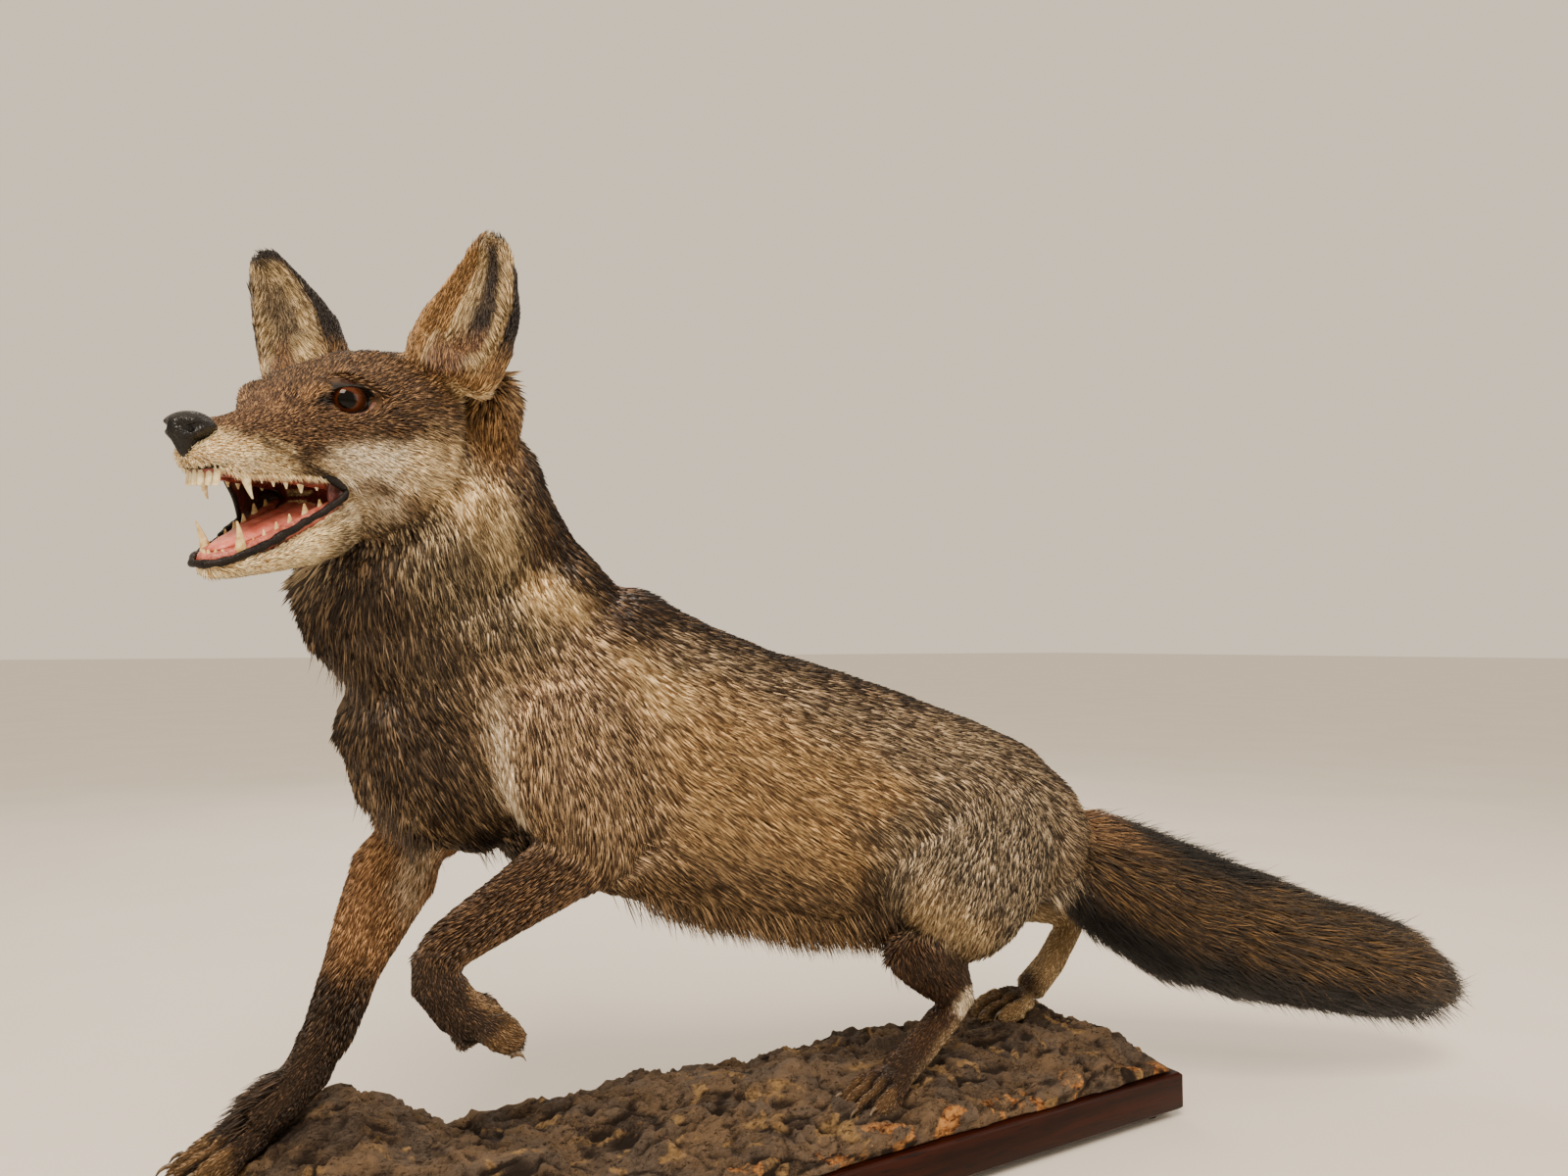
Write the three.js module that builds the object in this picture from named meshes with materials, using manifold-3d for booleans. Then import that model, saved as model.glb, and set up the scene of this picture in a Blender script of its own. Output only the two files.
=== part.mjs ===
// A red fox mounted in a stalking pose on cork bark and a wooden plinth.
// Millimetres, +Z up. The fox faces -X and its left side is toward -Y. The outlines reach the tips
// of the coat, and the body is modelled whole and parted with thin cuts.
import * as THREE from 'three';
import { mergeVertices } from 'three/addons/utils/BufferGeometryUtils.js';
import Module from 'manifold-3d';

const wasm = await Module();
wasm.setup();

// Driving dimensions.
const gap = 0.35;
const plinth = { length: 870, width: 168, thickness: 30, top: 52, right: 411, near: -80, bevel: 2 };
const plinthFoot = { radius: 9, height: 8, inset: 22 };
const bark = { thickness: 20, margin: 3, hump: 38, humpAt: -250, behind: 52, before: 64, ripple: 2.5 };
const headPose = { at: [-293, -85, 546], turn: 43, nod: -6, tilt: 2 };
const eye = { radius: 11.5, ahead: -2, out: 23.5, high: 3 };
const earTurn = { left: 17, right: 5 };
const toothRoot = 4;
const canine = { length: 15, radius: 2.8, lean: -6 };
const incisor = { length: 5, radius: 1.8, count: 6, spacing: 2.9, ahead: 11, arch: 0.55 };
const cheekTooth = { length: 4.5, radius: 3.2, count: 3, longer: 2.5 };
const toe = { length: 38, width: 14, height: 16, dip: 8, drop: 12 };
const claw = { length: 15, radius: 2.3, dip: 28, ahead: 2, inward: 2.5, drop: 3.5 };
const pawPad = { half: [20, 19, 12], back: 2, drop: 1 };

const up = new THREE.Vector3(0, 0, 1);
const forward = new THREE.Vector3(-1, 0, 0);
const far = 3000;

const colours = {
  mahogany: { color: 0x3c160c, roughness: 0.35 },
  footWood: { color: 0x241009, roughness: 0.5 },
  cork: { color: 0x6b4f3a, roughness: 0.95 },
  flank: { color: 0xa07a4e, roughness: 0.9 },
  back: { color: 0x6a4a30, roughness: 0.9 },
  throat: { color: 0x4a3c33, roughness: 0.9 },
  limb: { color: 0x3b2a20, roughness: 0.9 },
  face: { color: 0x7d5a3a, roughness: 0.9 },
  brush: { color: 0x5d4632, roughness: 0.95 },
  earBack: { color: 0x8a5a30, roughness: 0.9 },
  nosePad: { color: 0x15161a, roughness: 0.4 },
  iris: { color: 0x5a2c12, roughness: 0.08 },
  tooth: { color: 0xe6d9b4, roughness: 0.3 },
  tongue: { color: 0xc0766a, roughness: 0.35 },
  horn: { color: 0x8b7a63, roughness: 0.45 },
};

const fox = new THREE.Group();
const headGroup = new THREE.Group();
headGroup.position.set(...headPose.at);
headGroup.rotation.set(
  THREE.MathUtils.degToRad(headPose.tilt),
  THREE.MathUtils.degToRad(headPose.nod),
  THREE.MathUtils.degToRad(headPose.turn),
  'ZYX'
);
headGroup.updateMatrix();
fox.add(headGroup);

// A closed geometry as a manifold solid.
function toSolid(geometry) {
  const bare = geometry.clone();
  bare.deleteAttribute('normal');
  bare.deleteAttribute('uv');
  const welded = mergeVertices(bare, 1e-4);
  return new wasm.Manifold(new wasm.Mesh({
    numProp: 3,
    vertProperties: new Float32Array(welded.attributes.position.array),
    triVerts: new Uint32Array(welded.index.array),
  }));
}

// A manifold solid as a named mesh in its group.
function addMesh(group, name, solid, colour) {
  const raw = solid.getMesh();
  const geometry = new THREE.BufferGeometry();
  geometry.setAttribute('position', new THREE.BufferAttribute(raw.vertProperties, 3));
  geometry.setIndex(new THREE.BufferAttribute(raw.triVerts, 1));
  geometry.computeVertexNormals();
  const mesh = new THREE.Mesh(geometry, new THREE.MeshStandardMaterial(colours[colour]));
  mesh.name = name;
  group.add(mesh);
}

// A sphere bent along a spine. Each station holds its place and the half sizes of its section:
// sideways, above the spine and below it. "over" is the direction that counts as above.
function loft(stations, { around = 18, rows = 16, over = up, round = 45, grow = 0 } = {}) {
  const spine = new THREE.CatmullRomCurve3(stations.map((s) => new THREE.Vector3(...s.at)));
  const sizes = new THREE.CatmullRomCurve3(stations.map((s) => new THREE.Vector3(...s.half)));
  const geometry = new THREE.SphereGeometry(1, around, rows);
  const spots = geometry.attributes.position;
  const ball = new THREE.Vector3();
  for (let i = 0; i < spots.count; i += 1) {
    ball.fromBufferAttribute(spots, i);
    const polar = Math.acos(THREE.MathUtils.clamp(ball.y, -1, 1));
    const t = (1 - Math.cos(polar)) / 2;
    const nearEnd = Math.min(polar, Math.PI - polar) / THREE.MathUtils.degToRad(round);
    const fullness = Math.sin(Math.min(nearEnd, 1) * Math.PI / 2);
    const ring = Math.hypot(ball.x, ball.z) || 1;
    const half = sizes.getPoint(t);
    const ahead = spine.getTangent(t);
    const side = ahead.clone().cross(over).normalize();
    const above = side.clone().cross(ahead);
    const height = ball.z < 0 ? half.y : half.z;
    const place = spine.getPoint(t);
    place.addScaledVector(side, (half.x * ball.x / ring) * fullness + grow * ball.x);
    place.addScaledVector(above, -(height * ball.z / ring) * fullness - grow * ball.z);
    place.addScaledVector(ahead, -grow * ball.y);
    spots.setXYZ(i, place.x, place.y, place.z);
  }
  return toSolid(geometry);
}

function ellipsoid(at, radii, { around = 16, rows = 12, grow = 0 } = {}) {
  const geometry = new THREE.SphereGeometry(1, around, rows);
  geometry.scale(radii[0] + grow, radii[1] + grow, radii[2] + grow);
  geometry.translate(...at);
  return toSolid(geometry);
}

function join(...solids) {
  return solids.reduce((whole, piece) => whole.add(piece));
}

function cutAway(solid, ...tools) {
  return tools.reduce((rest, tool) => rest.subtract(tool), solid);
}

// Everything ahead of a plane, short of it by half the gap.
function halfSpace(point, normal) {
  const block = new THREE.BoxGeometry(far, far, far);
  block.translate(0, 0, far / 2 + gap / 2);
  block.applyQuaternion(new THREE.Quaternion().setFromUnitVectors(up, normal.clone().normalize()));
  block.translate(...point);
  return toSolid(block);
}

// The two sides of a thin cut: the side that the normal points to comes first.
function parted(solid, point, normal) {
  const direction = new THREE.Vector3(...normal);
  const ahead = solid.intersect(halfSpace(point, direction));
  const behind = solid.intersect(halfSpace(point, direction.clone().negate()));
  return [ahead, behind];
}

// ---------------------------------------------------------------- plinth and bark

const left = plinth.right - plinth.length;
const middleX = (plinth.right + left) / 2;
const middleY = plinth.near + plinth.width / 2;
const boardTop = plinth.top;
const boardUnder = plinth.top - plinth.thickness;

function plinthBoard() {
  const inside = plinth.bevel;
  const outline = new THREE.Shape();
  outline.moveTo(-plinth.length / 2 + inside, -plinth.width / 2 + inside);
  outline.lineTo(plinth.length / 2 - inside, -plinth.width / 2 + inside);
  outline.lineTo(plinth.length / 2 - inside, plinth.width / 2 - inside);
  outline.lineTo(-plinth.length / 2 + inside, plinth.width / 2 - inside);
  outline.closePath();
  const geometry = new THREE.ExtrudeGeometry(outline, {
    depth: plinth.thickness - 2 * inside,
    bevelSize: inside,
    bevelThickness: inside,
    bevelSegments: 2,
  });
  geometry.translate(middleX, middleY, boardUnder + inside);
  return toSolid(geometry);
}

function plinthFeet() {
  let number = 0;
  for (const sideX of [-1, 1]) {
    for (const sideY of [-1, 1]) {
      const geometry = new THREE.CylinderGeometry(
        plinthFoot.radius, plinthFoot.radius, plinthFoot.height - gap, 14
      );
      geometry.rotateX(Math.PI / 2);
      geometry.translate(
        middleX + sideX * (plinth.length / 2 - plinthFoot.inset),
        middleY + sideY * (plinth.width / 2 - plinthFoot.inset),
        boardUnder - (plinthFoot.height + gap) / 2
      );
      number += 1;
      addMesh(fox, `plinth_foot_${number}`, toSolid(geometry), 'footWood');
    }
  }
}

// Height of the bark's face above the floor: low ridges along its length and the hump in front.
function barkTop(x, y) {
  const past = x - bark.humpAt;
  const slope = past > 0 ? (past / bark.behind) ** 4 : (past / bark.before) ** 2;
  const hump = bark.hump * Math.exp(-slope) * (1 - 0.25 * ((y - 20) / 85) ** 2);
  const falling = THREE.MathUtils.smoothstep(x, 355, 411) * 12;
  const ripples = Math.sin(x * 0.071 + y * 0.05) + Math.sin(x * 0.031 - y * 0.083 + 3.4);
  const rising = (y - plinth.near) * 0.08;
  return boardTop + bark.thickness + hump + rising + bark.ripple * ripples - falling;
}

function barkSlab() {
  const long = plinth.length - 2 * bark.margin;
  const wide = plinth.width - 2 * bark.margin;
  const geometry = new THREE.BoxGeometry(long, wide, bark.thickness, 24, 3, 1);
  geometry.translate(middleX, middleY, boardTop + gap + bark.thickness / 2);
  const spots = geometry.attributes.position;
  for (let i = 0; i < spots.count; i += 1) {
    const x = spots.getX(i);
    const y = spots.getY(i);
    const upper = spots.getZ(i) > boardTop + bark.thickness / 2;
    const edge = Math.sin(x * 0.09) * 2 + Math.sin(x * 0.023 + y) * 2;
    const pulled = (y - middleY) * (1 - (upper ? 6 + edge : 3 + edge) / wide);
    const squeezed = (x - middleX) * (1 - (upper ? 8 : 4) / long);
    spots.setX(i, middleX + squeezed);
    spots.setY(i, middleY + pulled);
    if (upper) {
      const rim = 1 - Math.abs(y - middleY) / (wide / 2);
      spots.setZ(i, barkTop(x, y) - 5 * Math.max(0, 1 - rim * 5));
    }
  }
  return toSolid(geometry);
}

// ---------------------------------------------------------------- trunk, neck and haunches

const trunkStations = [
  { at: [356, 0, 226], half: [36, 42, 34] },
  { at: [325, 1, 240], half: [58, 58, 54] },
  { at: [263, 3, 260], half: [66, 79, 70] },
  { at: [199, 5, 279], half: [66, 84, 91] },
  { at: [123, 8, 293], half: [64, 96, 105] },
  { at: [52, 10, 309], half: [67, 99, 104] },
  { at: [-14, 13, 328], half: [70, 100, 101] },
  { at: [-79, 15, 355], half: [71, 103, 103] },
  { at: [-140, 15, 392], half: [68, 96, 100] },
  { at: [-180, 8, 462], half: [64, 84, 84] },
  { at: [-198, -13, 522], half: [60, 74, 74] },
  { at: [-210, -38, 572], half: [50, 48, 52] },
];

function trunkShape(grow) {
  const body = loft(trunkStations, { around: 16, rows: 18, grow });
  const breast = ellipsoid([-174, 17, 370], [82, 58, 90], { around: 12, rows: 8, grow });
  const ruff = loft([
    { at: [-250, -40, 470], half: [36, 34, 28] },
    { at: [-228, 0, 446], half: [56, 40, 52] },
    { at: [-190, 12, 410], half: [58, 50, 50] },
  ], { around: 10, rows: 7, grow });
  return join(body, breast, ruff);
}

const neckCut = { at: [-168, 14, 440], normal: [-0.35, -0.1, 0.93] };
const ribCut = { at: [-10, 12, 320], normal: [-1, 0, 0] };
const hipCut = { at: [172, 6, 290], normal: [-1, 0, 0.1] };

// ---------------------------------------------------------------- limbs

// Each limb is a row of stretches. Half sizes are sideways, in front and behind.
const limbs = {
  fore_left: {
    upper: [
      { at: [-128, -34, 400], half: [30, 44, 40] },
      { at: [-126, -40, 345], half: [32, 46, 46] },
      { at: [-96, -38, 292], half: [25, 36, 32] },
      { at: [-82, -36, 272], half: [17, 22, 18] },
    ],
    lower: [
      { at: [-82, -36, 288], half: [21, 30, 24] },
      { at: [-118, -36, 276], half: [20, 28, 25] },
      { at: [-160, -37, 254], half: [17, 21, 20] },
      { at: [-198, -37, 234], half: [14, 16, 17] },
      { at: [-210, -37, 226], half: [12, 14, 14] },
    ],
    end: [
      { at: [-206, -37, 236], half: [13, 13, 13] },
      { at: [-205, -36, 214], half: [14, 16, 15] },
      { at: [-190, -31, 192], half: [15, 15, 14] },
      { at: [-174, -27, 176], half: [17, 13, 13] },
    ],
    lowerOver: [-0.3, 0, 1],
    endOver: [-1, 0, -0.5],
    paw: { at: [-183, -29, 189], ahead: [0.62, 0.15, -0.77], dorsal: [-0.77, 0, -0.62] },
  },
  fore_right: {
    upper: [
      { at: [-128, 62, 400], half: [28, 44, 40] },
      { at: [-150, 68, 345], half: [30, 52, 44] },
      { at: [-182, 74, 300], half: [26, 44, 36] },
      { at: [-198, 74, 272], half: [20, 30, 26] },
    ],
    lower: [
      { at: [-190, 74, 292], half: [24, 36, 34] },
      { at: [-216, 71, 242], half: [19, 28, 28] },
      { at: [-235, 65, 202], half: [15, 20, 20] },
      { at: [-251, 58, 162], half: [14, 17, 18] },
      { at: [-256, 56, 150], half: [13, 15, 15] },
    ],
    end: [
      { at: [-250, 58, 170], half: [14, 16, 16] },
      { at: [-262, 55, 142], half: [15, 16, 15] },
      { at: [-280, 52, 126], half: [19, 15, 14] },
      { at: [-300, 49, 115], half: [22, 14, 13] },
    ],
    lowerOver: [-1, 0, -0.4],
    endOver: [-1, 0, 0.6],
    paw: { at: [-300, 49, 110], ahead: [-0.97, -0.1, -0.2], dorsal: [-0.2, 0, 0.98] },
  },
  hind_left: {
    upper: [
      { at: [262, -30, 300], half: [32, 50, 48] },
      { at: [226, -42, 262], half: [34, 66, 70] },
      { at: [188, -48, 224], half: [32, 66, 68] },
      { at: [166, -48, 192], half: [25, 48, 58] },
    ],
    lower: [
      { at: [158, -46, 206], half: [26, 48, 52] },
      { at: [174, -38, 174], half: [21, 32, 37] },
      { at: [203, -26, 146], half: [15, 20, 18] },
      { at: [220, -18, 130], half: [12, 16, 13] },
    ],
    end: [
      { at: [224, -18, 140], half: [12, 13, 13] },
      { at: [206, -21, 122], half: [12, 13, 13] },
      { at: [166, -27, 98], half: [13, 13, 13] },
      { at: [138, -31, 84], half: [18, 13, 13] },
    ],
    lowerOver: [-1, 0, -0.4],
    endOver: [-0.6, 0, 1],
    paw: { at: [136, -32, 84], ahead: [-0.97, -0.14, -0.18], dorsal: [-0.18, 0, 0.98] },
  },
  hind_right: {
    upper: [
      { at: [262, 36, 300], half: [32, 50, 48] },
      { at: [262, 46, 262], half: [34, 62, 62] },
      { at: [262, 52, 220], half: [32, 52, 56] },
      { at: [268, 54, 194], half: [25, 36, 40] },
    ],
    lower: [
      { at: [262, 54, 200], half: [24, 32, 30] },
      { at: [315, 56, 186], half: [20, 26, 24] },
      { at: [372, 56, 172], half: [16, 19, 18] },
      { at: [414, 55, 160], half: [13, 14, 14] },
      { at: [424, 54, 156], half: [11, 12, 12] },
    ],
    end: [
      { at: [424, 54, 166], half: [12, 13, 13] },
      { at: [412, 52, 146], half: [12, 13, 13] },
      { at: [382, 48, 116], half: [13, 13, 13] },
      { at: [346, 46, 92], half: [18, 13, 13] },
    ],
    lowerOver: [0.25, 0, 1],
    endOver: [-1, 0, 0.4],
    paw: { at: [338, 46, 92], ahead: [-0.99, 0.06, -0.05], dorsal: [-0.05, 0, 1] },
  },
};

// A paw's own axes: -X ahead along the toes and +Z out of the back of the paw.
function pawMatrix(paw) {
  const back = new THREE.Vector3(...paw.ahead).normalize().negate();
  const dorsal = new THREE.Vector3(...paw.dorsal);
  const across = dorsal.clone().cross(back).normalize();
  const out = back.clone().cross(across);
  const matrix = new THREE.Matrix4().makeBasis(back, across, out);
  matrix.setPosition(...paw.at);
  return matrix;
}

const toeRows = [
  { aside: -17, reach: 16, turn: 12 },
  { aside: -6, reach: 25, turn: 3 },
  { aside: 6, reach: 25, turn: -3 },
  { aside: 17, reach: 16, turn: -12 },
];

function toeGeometry(row, grow) {
  const geometry = new THREE.SphereGeometry(1, 6, 4);
  geometry.rotateZ(Math.PI / 2);
  geometry.scale(toe.length / 2 + grow, toe.width / 2 + grow, toe.height / 2 + grow);
  geometry.rotateY(THREE.MathUtils.degToRad(-toe.dip));
  geometry.rotateZ(THREE.MathUtils.degToRad(row.turn));
  geometry.translate(-row.reach, row.aside, toe.height / 2 - toe.drop);
  return geometry;
}

function clawGeometry(row, thin) {
  const geometry = new THREE.ConeGeometry(claw.radius - thin, claw.length, 4);
  geometry.rotateZ(Math.PI / 2);
  geometry.rotateY(THREE.MathUtils.degToRad(-claw.dip));
  geometry.rotateZ(THREE.MathUtils.degToRad(row.turn));
  const across = row.aside - Math.sign(row.turn) * claw.inward;
  geometry.translate(-row.reach - toe.length / 2 - claw.ahead, across, -claw.drop);
  return geometry;
}

function padGeometry(grow) {
  const geometry = new THREE.SphereGeometry(1, 7, 4);
  geometry.scale(...pawPad.half.map((half) => half + grow));
  geometry.translate(-pawPad.back, 0, -pawPad.drop);
  return geometry;
}

function placed(geometry, matrix) {
  geometry.applyMatrix4(matrix);
  return toSolid(geometry);
}

function limbShapes(limb, grow) {
  const lowerOver = new THREE.Vector3(...limb.lowerOver);
  const endOver = new THREE.Vector3(...limb.endOver);
  const matrix = pawMatrix(limb.paw);
  const upper = loft(limb.upper, { around: 10, rows: 7, over: forward, grow });
  const lower = loft(limb.lower, { around: 10, rows: 8, over: lowerOver, grow });
  const bones = loft(limb.end, { around: 8, rows: 5, over: endOver, grow });
  const toes = toeRows.map((row) => placed(toeGeometry(row, grow), matrix));
  return { upper, lower, end: join(bones, placed(padGeometry(grow), matrix), ...toes) };
}

// ---------------------------------------------------------------- tail

const tailStations = [
  { at: [318, -2, 262], half: [32, 34, 32] },
  { at: [362, -8, 232], half: [38, 40, 42] },
  { at: [430, -36, 187], half: [52, 56, 62] },
  { at: [495, -66, 161], half: [54, 54, 60] },
  { at: [562, -97, 140], half: [47, 45, 51] },
  { at: [625, -126, 121], half: [42, 41, 42] },
  { at: [688, -154, 98], half: [26, 28, 24] },
];

const tailCuts = [
  { at: [462, -51, 173], normal: [-0.86, 0.4, 0.35] },
  { at: [585, -108, 133], normal: [-0.86, 0.4, 0.28] },
];

// ---------------------------------------------------------------- head, in its own axes
// Ahead is -X, the fox's left is -Y and the middle of the eyes is the origin.

function facePoint(ahead, out, high) {
  return [-ahead, -out, high];
}

const headStations = [
  { at: facePoint(79, 0, -26), half: [12, 12, 17] },
  { at: facePoint(66, 0, -26), half: [17, 14, 22] },
  { at: facePoint(48, 0, -26), half: [20, 17, 26] },
  { at: facePoint(28, 0, -24), half: [25, 22, 28] },
  { at: facePoint(8, 0, -17), half: [34, 29, 36] },
  { at: facePoint(-12, 0, -10), half: [44, 33, 52] },
  { at: facePoint(-36, 0, -8), half: [56, 42, 64] },
  { at: facePoint(-60, 0, -10), half: [60, 49, 64] },
  { at: facePoint(-84, 0, -16), half: [50, 44, 52] },
  { at: facePoint(-100, 0, -20), half: [34, 32, 36] },
];

const jawStations = [
  { at: facePoint(-24, 0, -56), half: [32, 16, 24] },
  { at: facePoint(2, 0, -66), half: [26, 16, 21] },
  { at: facePoint(30, 0, -77), half: [21, 11, 12] },
  { at: facePoint(54, 0, -83), half: [17, 7, 7] },
  { at: facePoint(73, 0, -84), half: [12, 6, 6] },
];

// The open mouth between the jaws, wide at the front and closing at the corner of the lips.
function mouthOpening() {
  const profile = new THREE.Shape();
  profile.moveTo(0, -47);
  profile.lineTo(-10, -41);
  profile.lineTo(-100, -39);
  profile.lineTo(-100, -130);
  profile.lineTo(-40, -130);
  profile.lineTo(-6, -56);
  profile.closePath();
  const geometry = new THREE.ExtrudeGeometry(profile, { depth: 140, bevelEnabled: false });
  geometry.translate(0, 0, -70);
  geometry.rotateX(Math.PI / 2);
  return toSolid(geometry);
}

// The roof of the mouth: a trough up between the lips, and the floor of the lower jaw.
function trough(stations, grow) {
  return loft(stations, { around: 10, rows: 6, round: 30, grow });
}

const roofStations = [
  { at: facePoint(76, 0, -39), half: [8, 5, 7] },
  { at: facePoint(56, 0, -39), half: [14.5, 6, 8] },
  { at: facePoint(30, 0, -39), half: [18, 7, 8] },
  { at: facePoint(8, 0, -42), half: [21, 8, 8] },
];

const floorStations = [
  { at: facePoint(72, 0, -79), half: [8, 7, 5] },
  { at: facePoint(52, 0, -77), half: [13.5, 8, 6] },
  { at: facePoint(28, 0, -68), half: [17, 10, 8] },
  { at: facePoint(2, 0, -54), half: [21, 10, 9] },
];

// A gum is the lower or upper slice of its trough; the teeth stand in a row along its rim.
function tooth(at, length, radius, points, grow, lean = 0) {
  const geometry = new THREE.ConeGeometry(radius + grow, length + toothRoot + 2 * grow, 4);
  geometry.rotateX(Math.PI / 2 * points);
  geometry.rotateY(THREE.MathUtils.degToRad(lean));
  geometry.translate(at[0], at[1], at[2] + points * (length - toothRoot) / 2);
  return toSolid(geometry);
}

function toothRow({ canineAt, frontAt, backAt, points }, grow) {
  const teeth = [];
  for (const side of [-1, 1]) {
    const [ahead, out, high] = canineAt;
    const tip = facePoint(ahead, side * out, high);
    teeth.push(tooth(tip, canine.length, canine.radius, points, grow, canine.lean));
    for (let i = 0; i < cheekTooth.count; i += 1) {
      const t = i / (cheekTooth.count - 1);
      const place = [0, 1, 2].map((k) => THREE.MathUtils.lerp(frontAt[k], backAt[k], t));
      const length = cheekTooth.length + cheekTooth.longer * t;
      const spot = facePoint(place[0], side * place[1], place[2]);
      teeth.push(tooth(spot, length, cheekTooth.radius, points, grow));
    }
  }
  for (let i = 0; i < incisor.count; i += 1) {
    const across = (i - (incisor.count - 1) / 2) * incisor.spacing;
    const ahead = canineAt[0] + incisor.ahead - Math.abs(across) * incisor.arch;
    const spot = facePoint(ahead, across, canineAt[2]);
    teeth.push(tooth(spot, incisor.length, incisor.radius, points, grow));
  }
  return teeth;
}

// The way that an ear's hollow faces: both are turned a little to the fox's left.
function earOpening(side) {
  const turn = THREE.MathUtils.degToRad(side > 0 ? earTurn.left : earTurn.right);
  return new THREE.Vector3(...facePoint(Math.cos(turn), Math.sin(turn), 0));
}

function earShape(side, grow) {
  const stations = [
    { at: facePoint(-63, side * 45, 16), half: [28, 17, 16] },
    { at: facePoint(-69, side * 55, 40), half: [30, 15, 15] },
    { at: facePoint(-71, side * 67, 64), half: [25, 11, 11] },
    { at: facePoint(-68, side * 75, 86), half: [16, 7, 7] },
    { at: facePoint(-65, side * 79, 102), half: [8, 3.5, 3] },
  ];
  return loft(stations, { around: 10, rows: 8, over: earOpening(side), round: 30, grow });
}

// The hollow of an ear leaves a wall behind it and opens toward the front.
function earHollow(side) {
  const stations = [
    { at: facePoint(-57, side * 53, 34), half: [20, 20, 10] },
    { at: facePoint(-62, side * 61, 52), half: [22, 18, 10] },
    { at: facePoint(-64, side * 69, 72), half: [17, 14, 9] },
    { at: facePoint(-62, side * 77, 94), half: [6, 8, 4] },
  ];
  return loft(stations, { around: 8, rows: 6, over: earOpening(side), round: 30 });
}

// The head is turned, so fur fills the hollow between the left ear and the neck in a soft lobe.
function earLobe() {
  return ellipsoid(facePoint(-104, 54, 4), [17, 14, 30], { around: 10, rows: 8 })
    .transform(headGroup.matrix.elements);
}

function eyeBall(side, grow) {
  const radius = eye.radius + grow;
  return ellipsoid(facePoint(eye.ahead, side * eye.out, eye.high), [radius, radius, radius],
    { around: 8, rows: 6 });
}

function nosePad(grow) {
  return loft([
    { at: facePoint(72, 0, -20), half: [10, 8, 8] },
    { at: facePoint(79, 0, -20), half: [11, 8.5, 9] },
    { at: facePoint(86, 0, -20.5), half: [8, 7, 7] },
  ], { around: 10, rows: 7, round: 80, grow });
}

function tongueShape(grow) {
  return loft([
    { at: facePoint(2, 0, -57), half: [12, 5, 5] },
    { at: facePoint(28, 0, -65), half: [11, 4.5, 4] },
    { at: facePoint(52, 0, -72), half: [9, 3.5, 3] },
    { at: facePoint(62, 0, -74), half: [6, 2, 2] },
  ], { around: 8, rows: 6, round: 60, grow });
}

// ---------------------------------------------------------------- assembly

addMesh(fox, 'plinth_board', plinthBoard(), 'mahogany');
plinthFeet();

const headWhole = (grow) => loft(headStations, { around: 14, rows: 13, round: 55, grow });
const headOuter = headWhole(0).subtract(mouthOpening());
const headClear = headWhole(gap).transform(headGroup.matrix.elements);

const upperRow = { canineAt: [58, 12, -39], frontAt: [46, 14, -39], backAt: [18, 17.5, -40], points: -1 };
const lowerRow = { canineAt: [60, 9.5, -79], frontAt: [47, 11.5, -75], backAt: [16, 16.5, -62], points: 1 };

const eyes = { left: 1, right: -1 };
const eyeSockets = Object.values(eyes).map((side) => eyeBall(side, gap));
const ears = Object.values(eyes).map((side) => earShape(side, 0).subtract(earHollow(side)));
const headSolid = cutAway(
  headOuter, trough(roofStations, gap), ...toothRow(upperRow, gap), ...eyeSockets, nosePad(gap)
);
addMesh(headGroup, 'head', headSolid, 'face');
addMesh(headGroup, 'nose', nosePad(0), 'nosePad');
Object.entries(eyes).forEach(([name, side], i) => {
  addMesh(headGroup, `eye_${name}`, eyeBall(side, 0), 'iris');
  addMesh(headGroup, `ear_${name}`, ears[i].subtract(headWhole(gap)), 'earBack');
});

const roof = trough(roofStations, 0).intersect(halfSpace([0, 0, -39.5], up));
const upperGum = cutAway(join(roof, ...toothRow(upperRow, 0)), nosePad(gap));
addMesh(headGroup, 'upper_gum_and_teeth', upperGum, 'tooth');

const jawWhole = loft(jawStations, { around: 10, rows: 8, round: 50 });
const jawSolid = cutAway(
  jawWhole, trough(floorStations, gap), ...toothRow(lowerRow, gap), headWhole(gap)
);
const gumRim = new THREE.Vector3(...facePoint(-0.324, 0, -0.946));
const floorGum = trough(floorStations, 0).intersect(halfSpace(facePoint(52, 0, -74.5), gumRim));
const tongueClear = tongueShape(gap);
const lowerGum = cutAway(
  join(floorGum, ...toothRow(lowerRow, 0)), tongueClear, headWhole(gap)
);
addMesh(headGroup, 'lower_jaw', jawSolid, 'face');
addMesh(headGroup, 'lower_gum_and_teeth', lowerGum, 'tooth');
addMesh(headGroup, 'tongue', cutAway(tongueShape(0), headWhole(gap)), 'tongue');

const earClear = Object.values(eyes).map((side) => (
  earShape(side, gap).transform(headGroup.matrix.elements)
));
const trunk = cutAway(join(trunkShape(0), earLobe()), headClear, ...earClear);
const [neck, trunkRest] = parted(trunk, neckCut.at, neckCut.normal);
const [chest, trunkRear] = parted(trunkRest, ribCut.at, ribCut.normal);
const [loin, rump] = parted(trunkRear, hipCut.at, hipCut.normal);
addMesh(fox, 'neck', neck, 'throat');
addMesh(fox, 'chest', chest, 'flank');
addMesh(fox, 'loin', loin, 'flank');
addMesh(fox, 'rump', rump, 'back');

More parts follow.
